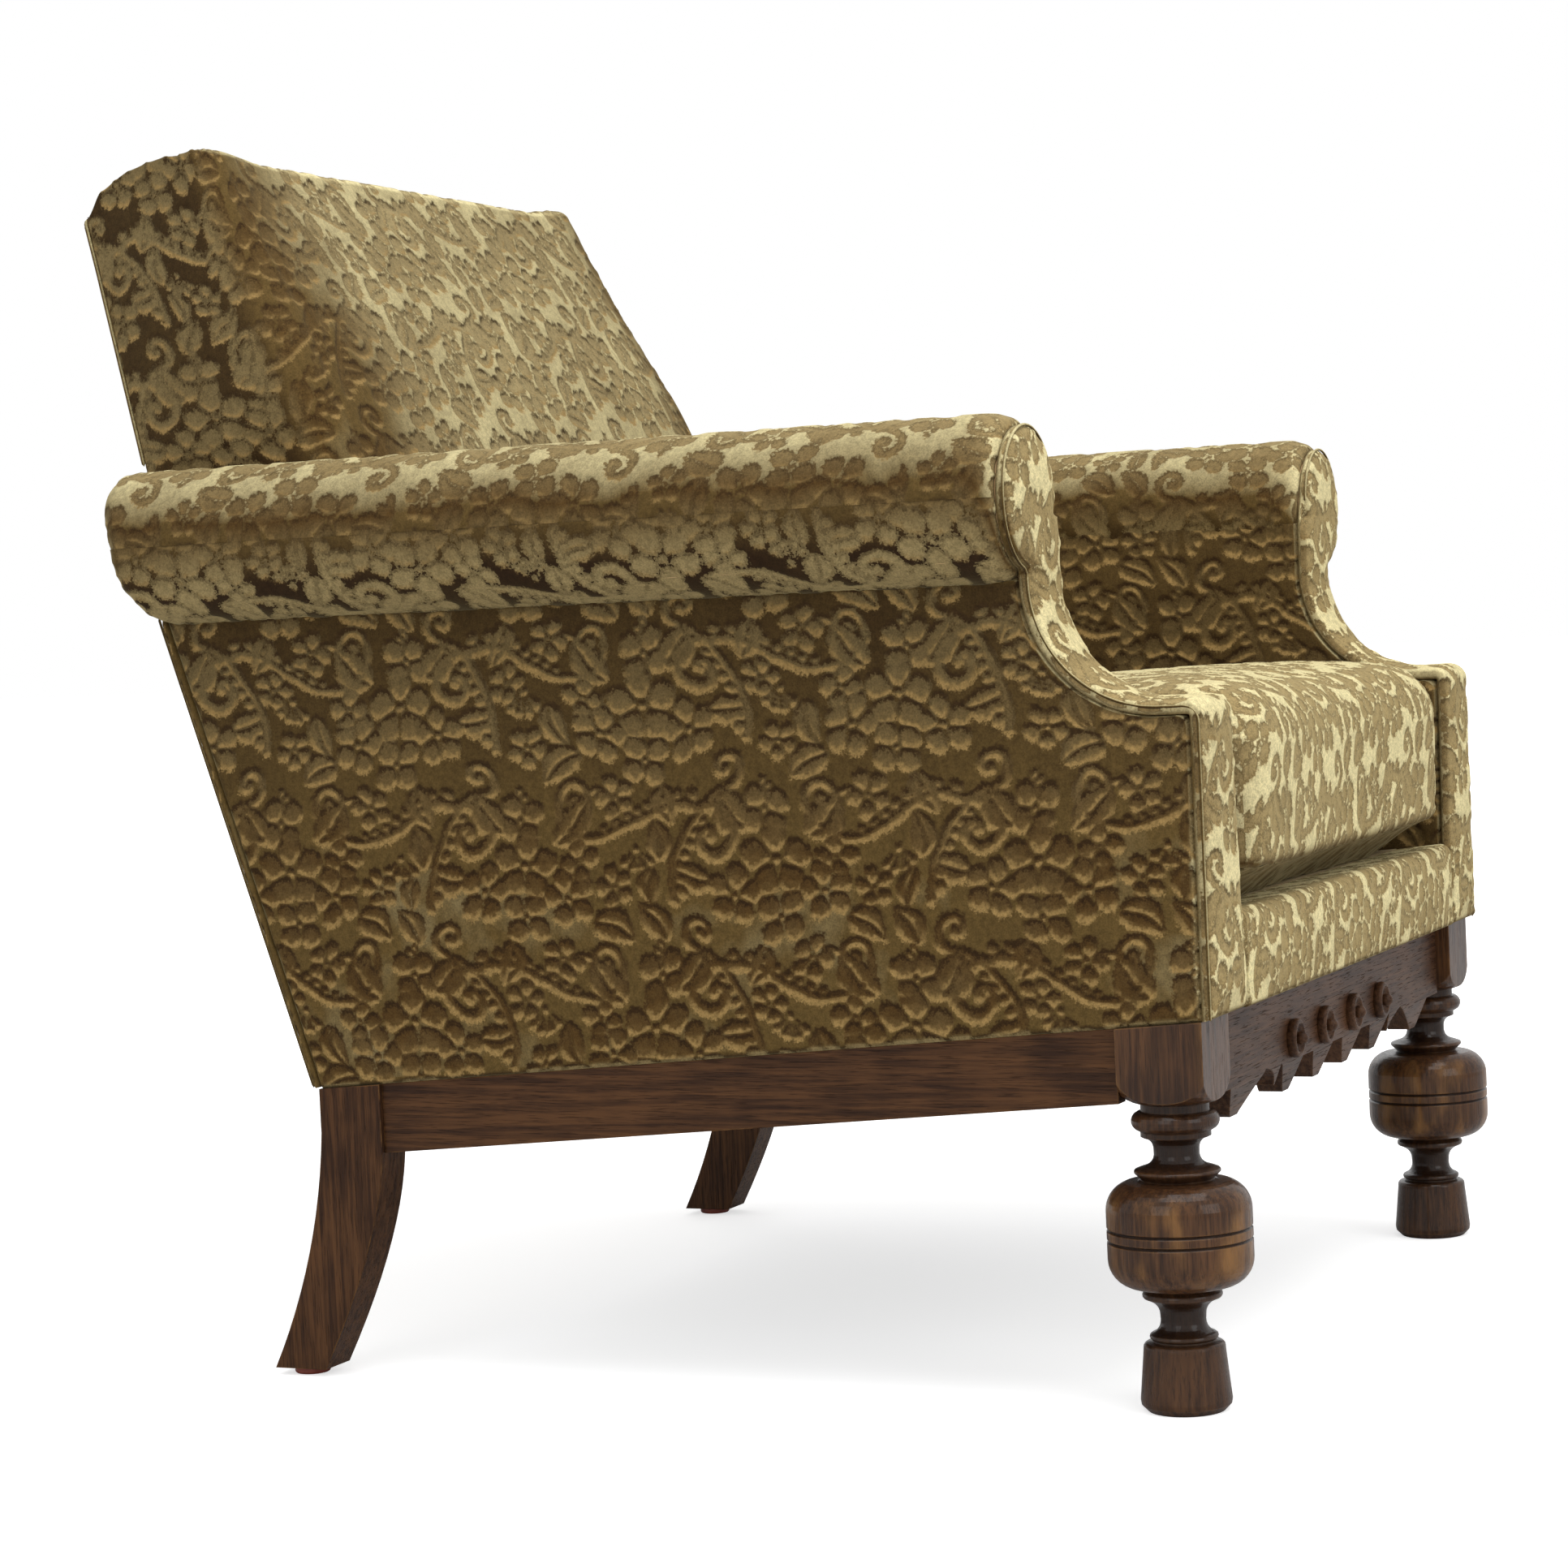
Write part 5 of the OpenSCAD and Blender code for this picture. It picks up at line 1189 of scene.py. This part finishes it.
class CHAIR_OT_inside_arms(bpy.types.Operator):
    """Pads the insides of both arms"""

    bl_idname = "chair.inside_arms"
    bl_label = "Inside arms"

    def execute(self, context):
        shape = inner_arm(context.scene.chair_velour.mesh_pitch)
        for name, side in SIDES.items():
            obj = cover("inside_arm_pad_" + name, *shape, side, seam=(True, False), painted_light=inside_arm_painted_light, rims=0.9,
                        contrast=0.35)
            finish_piece(obj, "chair", ["inside_arm_" + name])
        return {"FINISHED"}


class CHAIR_OT_facings(bpy.types.Operator):
    """Makes the front facings of the arms with their scroll faces"""

    bl_idname = "chair.facings"
    bl_label = "Front facings"

    def execute(self, context):
        shape = facing_strip(context.scene.chair_velour.mesh_pitch)
        for name, side in SIDES.items():
            obj = cover("front_facing_" + name, *shape, side, rims=0.4)
            finish_piece(obj, "chair", ["arm_facing_" + name])
        return {"FINISHED"}


class CHAIR_OT_border(bpy.types.Operator):
    """Makes the front border below the cushion"""

    bl_idname = "chair.border"
    bl_label = "Front border"

    def execute(self, context):
        obj = cover("front_border", *border_strip(context.scene.chair_velour.mesh_pitch), rims=0.3)
        finish_piece(obj, "chair", ["seat_border"])
        return {"FINISHED"}


class CHAIR_OT_cushion(bpy.types.Operator):
    """Makes the loose seat cushion"""

    bl_idname = "chair.cushion"
    bl_label = "Seat cushion"

    def execute(self, context):
        count = int(0.80 / context.scene.chair_velour.mesh_pitch / SPACING["cushion"]) | 1
        moves = swell(count)
        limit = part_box("seat_cushion")[1][0] + SOFT_GAP
        halves = []
        for upper, move in zip((True, False), moves):
            face, cloth = cushion_shape(count, upper)
            face = face + move
            face[..., 0] = np.clip(face[..., 0], -limit, limit)
            face[..., 2] = np.maximum(face[..., 2], base_z(face[..., 1]) + BORDER_H + SOFT_GAP)
            halves.append(cover("cushion_half", face, cloth, (0, 0.25, 0.35), seam=(False, False), rims=0.3,
                                ends=False))
        obj, lower = halves
        sewn(obj.data, [half.data for half in halves], merge=3e-5)
        bpy.data.objects.remove(lower)
        obj.name = "loose_cushion"
        finish_piece(obj, "cushion", ["seat_cushion"])
        return {"FINISHED"}


class CHAIR_OT_back(bpy.types.Operator):
    """Covers the back: sides, front and roof in one, and the outside back"""

    bl_idname = "chair.back"
    bl_label = "Back"

    def execute(self, context):
        pitch = context.scene.chair_velour.mesh_pitch
        face, cloth, inner = back_wrap(pitch)
        back = [face[:, 0], face[:, -1]]
        obj = cover("back_cover", face, cloth, inner, back, seam=(False, False), painted_light=back_painted_light, rims=0.7, contrast=0.74)
        finish_piece(obj, "chair", ["back_pad"])
        obj = cover("outside_back_cover", *rear_panel(pitch))
        finish_piece(obj, "chair", ["outside_back"])
        return {"FINISHED"}


class CHAIR_OT_seams(bpy.types.Operator):
    """Adds the raised seams along the edges of the covers"""

    bl_idname = "chair.seams"
    bl_label = "Seams"

    def execute(self, context):
        r = context.scene.chair_velour.seam_radius
        edge = along(arm_front(SEAM_INSET, SWEEP_Z + 0.003, FACING_ROUND), 260)
        edge = np.c_[np.full(len(edge), HALF_W - 0.0012), edge]
        a, round_r = np.linspace(-1.30, math.pi * 0.97, 160), FACE_R + 0.0002
        disc = points(ROLL_X + round_r * np.cos(a), SCROLL_Y + SEAM_INSET, ROLL_Z + round_r * np.sin(a))
        facing = along(np.vstack([edge[edge[:, 2] < ROLL_Z - FACE_R - 0.001], disc]), 420)
        x, foot, high = HALF_W - 0.0008, rear_foot(0.001), 0.512
        low_end, high_end = [x, foot - 0.0015, base_z(foot) + 0.001], [x, rear_line(high) - 0.0015, high]
        rear = along([low_end, high_end], 160)
        for name, side in SIDES.items():
            # The fourth argument is each cord's painted shade
            welt("facing_seam_" + name, facing, r, 0.35, side)
            welt("rear_welt_" + name, rear, r, 0.7, side)
        q = np.linspace(ROLL_Q + ROLL_R + 0.008, PANEL_TOP - 0.006, 90)
        rise, corner = np.c_[rear_half(q), q], rear_half(PANEL_TOP)
        turn = bend(rise[-1], [corner, PANEL_TOP], [corner - 0.006, PANEL_TOP], 8)
        half = np.vstack([rise, turn[1:]])
        x, q = along(np.vstack([half, half[::-1] * [-1, 1]]), 420).T
        back = points(x, *raked(0.0012, q + panel_rise(x / rear_half(q), q)))
        welt("back_welt", back, 1.5 * r, 0.3)
        return {"FINISHED"}


def flat_sheet(name, x, points_yz, thickness, material):
    """A flat sheet across the chair between two points in depth and height, with an upper and a lower face."""
    n = 40
    y, z = (np.linspace(*ends, n) for ends in zip(*points_yz))
    top = points(np.linspace(-x, x, n)[:, None], y - MID_Y, z)
    verts = np.vstack([top.reshape(-1, 3), (top - [0, 0, thickness]).reshape(-1, 3)])
    i, last = np.arange(n - 1), n * n - 1
    ring = np.r_[i, n - 1 + n * i, last - i, last - (n - 1) - n * i]
    after = np.roll(ring, -1)
    walls = np.stack([ring, after, after + n * n, ring + n * n], axis=1)
    quads = np.vstack([grid_faces(n, n), grid_faces(n, n, True) + n * n, walls])
    return mesh_piece(name, verts, quads, material=material)


class CHAIR_OT_inner_sheets(bpy.types.Operator):
    """Lays the cloths under the cushion and below the seat"""

    bl_idname = "chair.inner_sheets"
    bl_label = "Inner cloths"

    def execute(self, context):
        cloths = [
            ("seat_deck_cloth", "seat_deck", BORDER_H, (178, 158, 118), (140, 120, 84), 0.0009, "platform_cloth",
             "seat_hessian_cloth"),
            ("seat_hessian_cloth", "seat_hessian", SEAT_TOP + HESSIAN_T, (176, 142, 94), (110, 82, 48), 0.0022, "jute",
             "seat_rail_left"),
            ("under_seat_cloth", "bottom_cloth", TACK_H - 0.0032, (46, 45, 44), (22, 22, 22), 0.0008, "dust_cloth",
             "back_rail"),
        ]
        for name, solid, h, light, dark, pitch, slot_name, rest in cloths:
            lo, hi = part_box(solid)
            y0, y1 = lo[1] + MID_Y, hi[1] + MID_Y
            mat = plain_cloth_material(name + "_weave", srgb(*light), srgb(*dark), pitch)
            obj = flat_sheet(name, hi[0], [(y0, base_z(y0) + h), (y1, base_z(y1) + h)], 0.001, mat)
            finish_piece(obj, "chair", [solid])
        return {"FINISHED"}


def strap(path, width):
    """Rings of a flat strap along a path in 3-D: a rectangle carried along, its width along the second argument."""
    w = np.asarray(width, float)
    n = np.cross(unit(np.gradient(path, axis=0)), unit(w)) * STRAP_T
    return np.stack([path - w / 2, path + w / 2, path + w / 2 + n, path - w / 2 + n], axis=1)


def woven(t, crossings, first):
    """Rise and fall of a strap over and under its crossings, in turn from the sign first: steep bells at them."""
    signs = first * (-1.0) ** np.arange(len(crossings))
    return 0.0008 * (signs * np.exp(-(((t[:, None] - crossings) / 0.032) ** 4))).sum(1)


def straps(name, rings, material):
    """Joins straps into one object: each is a row of four-cornered rings with its two ends closed."""
    quads, start = [], 0
    corner = np.arange(4)
    for ring in rings:
        m = len(ring)
        i, j = (np.arange(m - 1)[:, None] * 4 + k for k in (corner, (corner + 1) % 4))
        quads.append(np.stack([i, j, j + 4, i + 4], axis=2).reshape(-1, 4) + start)
        quads.append(np.array([corner[::-1], 4 * m - 4 + corner]) + start)
        start += 4 * m
    verts = np.vstack([ring.reshape(-1, 3) for ring in rings]) - [0, MID_Y, 0]
    return mesh_piece(name, verts, np.vstack(quads), material=material)


class CHAIR_OT_webbing(bpy.types.Operator):
    """Stretches the interlaced webbing of the seat and the straps of the back"""

    bl_idname = "chair.webbing"
    bl_label = "Webbing"

    def execute(self, context):
        mat = plain_cloth_material("Jute webbing", srgb(182, 150, 102), srgb(112, 86, 52), 0.0016)
        width, n = STRAP_W, 240
        lo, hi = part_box("seat_webbing")
        y0, y1 = lo[1] + MID_Y, hi[1] + MID_Y
        xs = STRAP_GAP * np.arange(-2, 3)
        ys = LEG_BLOCK + 0.020 + 0.25 * np.arange(5) * (REAR_LEG_Y - BRACE_L - LEG_BLOCK)
        x, y, level = np.linspace(lo[0], hi[0], n), np.linspace(y0, y1, n), TACK_H - 0.0016
        lengthwise = [strap(points(xc, y, base_z(y) + level + woven(y, ys, -((-1) ** i))), (width, 0, 0))
                      for i, xc in enumerate(xs)]
        crosswise = [strap(points(x, yc, base_z(yc) + level + woven(x, xs, (-1) ** j)), (0, width, -width * PITCH))
                     for j, yc in enumerate(ys)]
        obj = straps("seat_webbing_straps", lengthwise + crosswise, mat)
        finish_piece(obj, "chair", ["seat_webbing"])
        lo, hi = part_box("back_webbing")
        gap = (BACK_FRAME_TOP - 4 * BACK_FRAME_W - 4 * width) / 5
        x = np.linspace(lo[0], hi[0], 60)
        across = np.array([0, math.sin(RAKE), math.cos(RAKE)]) * width
        places = [3 * BACK_FRAME_W + gap + i * (width + gap) + width / 2 for i in range(4)]
        obj = straps("back_webbing_straps", [strap(points(x, *raked(BACK_WEB_D, q)), across) for q in places], mat)
        finish_piece(obj, "chair", ["back_webbing"])
        return {"FINISHED"}


OAK_GRAIN = {"front_leg": "Z", "rear_leg": "Z", "side_rail": "Y", "front_apron": "X", "rosette": "Z", "back_rail": "X"}
BEECH_GRAIN = {"front_rail": "X", "corner_brace": "X", "seat_rail_right": "Y", "seat_rail_left": "Y", "seat_rail": "X",
               "arm_stump": "Z", "arm_back_post": "Z", "arm_top_rail": "Y", "scroll_board": "Z", "back_post": "Z",
               "back_top_rail": "X", "back_tack_rail": "X"}


class CHAIR_OT_wood(bpy.types.Operator):
    """Gives the stand its oak, the frame its beech, and the fittings their finish"""

    bl_idname = "chair.wood"
    bl_label = "Wood and fittings"

    def execute(self, context):
        look = context.scene.chair_oak
        oak = look.oak_dark, look.oak_light, look.oak_worn
        beech = look.beech_dark, look.beech_light, look.beech_light
        legs = wood_material("Turned oak", "Z", *oak, look.gloss - 0.14, 0.25, turned=True)
        carved = wood_material("Carved oak", "X", look.oak_dark, look.oak_carved, look.oak_worn, look.gloss, 0.05,
                               rubbed=0.2)
        oaks = {a: wood_material("Oak along " + a, a, *oak, look.gloss, 0.02) for a in "XYZ"}
        beeches = {a: wood_material("Beech along " + a, a, *beech, 0.6) for a in "XYZ"}
        steel = metal_material("Spring steel", srgb(120, 116, 110), 0.35, 1.0)
        finishes = {key: oaks[axis] for key, axis in OAK_GRAIN.items()}
        finishes |= {key: beeches[axis] for key, axis in BEECH_GRAIN.items()}
        finishes |= {"front_leg": legs, "front_apron": carved, "rosette": carved, "seat_springs": steel,
                     "brace_screws": steel, "rear_glide": metal_material("Reddish glide", srgb(128, 52, 30), 0.4, 0.0)}
        for name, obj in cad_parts.items():
            mat = next((m for key, m in finishes.items() if name.startswith(key)), None)
            if mat and not obj.material_slots:
                obj.data.materials.append(mat)
            elif mat:
                for slot in obj.material_slots:
                    slot.material = mat
        return {"FINISHED"}


CAMERA_AT = (-2.41766, -1.0606, 0.49290)
CAMERA_RIGHT, CAMERA_UP = np.array([0.40449, -0.91346, -0.04627]), np.array([0.06040, -0.02380, 0.99798])
# Name, place, height of the point that it looks at, diameter
LAMPS = [("top_lamp", (-0.5, -0.6, 2.7), 0.4, 2.4), ("front_lamp", (-1.2, -3.2, 1.5), 0.4, 2.0),
         ("side_lamp", (-3.2, 0.3, 1.6), 0.4, 2.0), ("rear_lamp", (2.8, 1.8, 1.8), 0.5, 2.0)]


def stand(name, data, right, up, at):
    """Sets a lamp or a camera at a place, by its directions to the right and upwards."""
    obj = bpy.data.objects.new(name, data)
    axes = np.column_stack([right, up, np.cross(right, up), at])
    obj.matrix_world = Matrix([*axes.tolist(), [0, 0, 0, 1]])
    bpy.context.scene.collection.objects.link(obj)
    return obj


def white_room(strength):
    """The world: even white light of the given strength that looks pure white to camera, gloss and glass."""
    world = bpy.data.worlds.new("White room")
    world.use_nodes = True
    tree = world.node_tree
    tree.nodes.clear()
    rays = node(tree, "ShaderNodeLightPath").outputs
    seen = maths(tree, "MAXIMUM", rays["Is Glossy Ray"], rays["Is Transmission Ray"])
    seen = maths(tree, "MAXIMUM", rays["Is Camera Ray"], seen)
    light = node(tree, "ShaderNodeMix", {0: seen, 2: strength, 3: 1.0}).outputs[0]
    back = node(tree, "ShaderNodeBackground", {0: (1, 1, 1, 1), 1: light})
    node(tree, "ShaderNodeOutputWorld", {0: back.outputs[0]})
    return world


def pale_floor(colour):
    """The floor's material: matte, and to the camera it fades into the white room around it."""
    mat, tree, shader, place = new_material("Pale floor")
    tree.nodes.remove(shader)
    rays = node(tree, "ShaderNodeLightPath").outputs
    cloud = product(tree, noise(tree, place, 3.0, 2.0), 0.1)
    matte = node(tree, "ShaderNodeBsdfDiffuse", {0: mix(tree, cloud, colour, (0.8, 0.8, 0.8))})
    far = between(tree, length_of(tree, place), 0.6, 2.4, 0.62, 1.0)
    glow = node(tree, "ShaderNodeEmission", {0: (1, 1, 1, 1), 1: product(tree, rays["Is Camera Ray"], far)})
    both = node(tree, "ShaderNodeAddShader", {0: matte.outputs[0], 1: glow.outputs[0]})
    wire(tree, tree.nodes["Material Output"], {0: both.outputs[0]})
    return mat


class CHAIR_OT_stage(bpy.types.Operator):
    """Sets the floor, the lamps, the white room and the camera"""

    bl_idname = "chair.stage"
    bl_label = "Studio"

    def execute(self, context):
        scene = context.scene
        look = scene.chair_stage
        scene.view_settings.view_transform = "Standard"
        scene.world = white_room(look.sky)
        reach = (-30, 30)
        corners = np.array([[x, y, 0.0] for x in reach for y in reach])
        floor = mesh_piece("floor", corners, grid_faces(2, 2), material=pale_floor(look.floor))
        if floor.data.polygons[0].normal.z < 0:
            floor.data.flip_normals()
        powers = (look.key, look.fill * 1.4, look.fill, look.fill * 0.6)
        for (name, at, aim, size), power in zip(LAMPS, powers):
            light = bpy.data.lights.new(name, "AREA")
            light.shape, light.size, light.energy = "DISK", size, power
            away = unit(np.array(at) - [0, 0, aim])
            right = unit(np.cross([0, 0, 1.0], away))
            stand(name, light, right, np.cross(away, right), at)
        right = unit(CAMERA_RIGHT)
        up = unit(CAMERA_UP - right * (CAMERA_UP @ right))
        scene.camera = stand("camera", bpy.data.cameras.new("camera"), right, up, CAMERA_AT)
        scene.camera.data.lens = look.lens
        scene.camera.data.sensor_width = 36
        return {"FINISHED"}


class CHAIR_PT_panel(bpy.types.Panel):
    """Lists the chair's pieces and their settings"""

    bl_label = "Easy chair"
    bl_idname = "CHAIR_PT_panel"
    bl_space_type = "VIEW_3D"
    bl_region_type = "UI"
    bl_category = "Chair"

    def draw(self, context):
        column = self.layout.column(align=True)
        for operator in OPERATORS:
            column.operator(operator.bl_idname)
        for name in SETTINGS:
            settings = getattr(context.scene, name)
            box = self.layout.box()
            for key in settings.__annotations__:
                box.prop(settings, key)


OPERATORS = (CHAIR_OT_side_panels, CHAIR_OT_rolled_arms, CHAIR_OT_inside_arms, CHAIR_OT_facings, CHAIR_OT_border,
             CHAIR_OT_cushion, CHAIR_OT_back, CHAIR_OT_seams, CHAIR_OT_inner_sheets, CHAIR_OT_webbing, CHAIR_OT_wood,
             CHAIR_OT_stage)
SETTINGS = {"chair_velour": VelourSettings, "chair_oak": OakSettings, "chair_stage": StageSettings}
CLASSES = (*SETTINGS.values(), *OPERATORS, CHAIR_PT_panel)


def register():
    """Makes the classes and the settings known."""
    for c in CLASSES:
        bpy.utils.register_class(c)
    for name, c in SETTINGS.items():
        setattr(bpy.types.Scene, name, bpy.props.PointerProperty(type=c))


def unregister():
    """Takes the settings and the classes out again."""
    for name in SETTINGS:
        delattr(bpy.types.Scene, name)
    for c in reversed(CLASSES):
        bpy.utils.unregister_class(c)


def main():
    """Makes every piece in order."""
    register()
    for operator in OPERATORS:
        getattr(bpy.ops.chair, operator.bl_idname.removeprefix("chair."))()


if __name__ == "__main__":
    main()
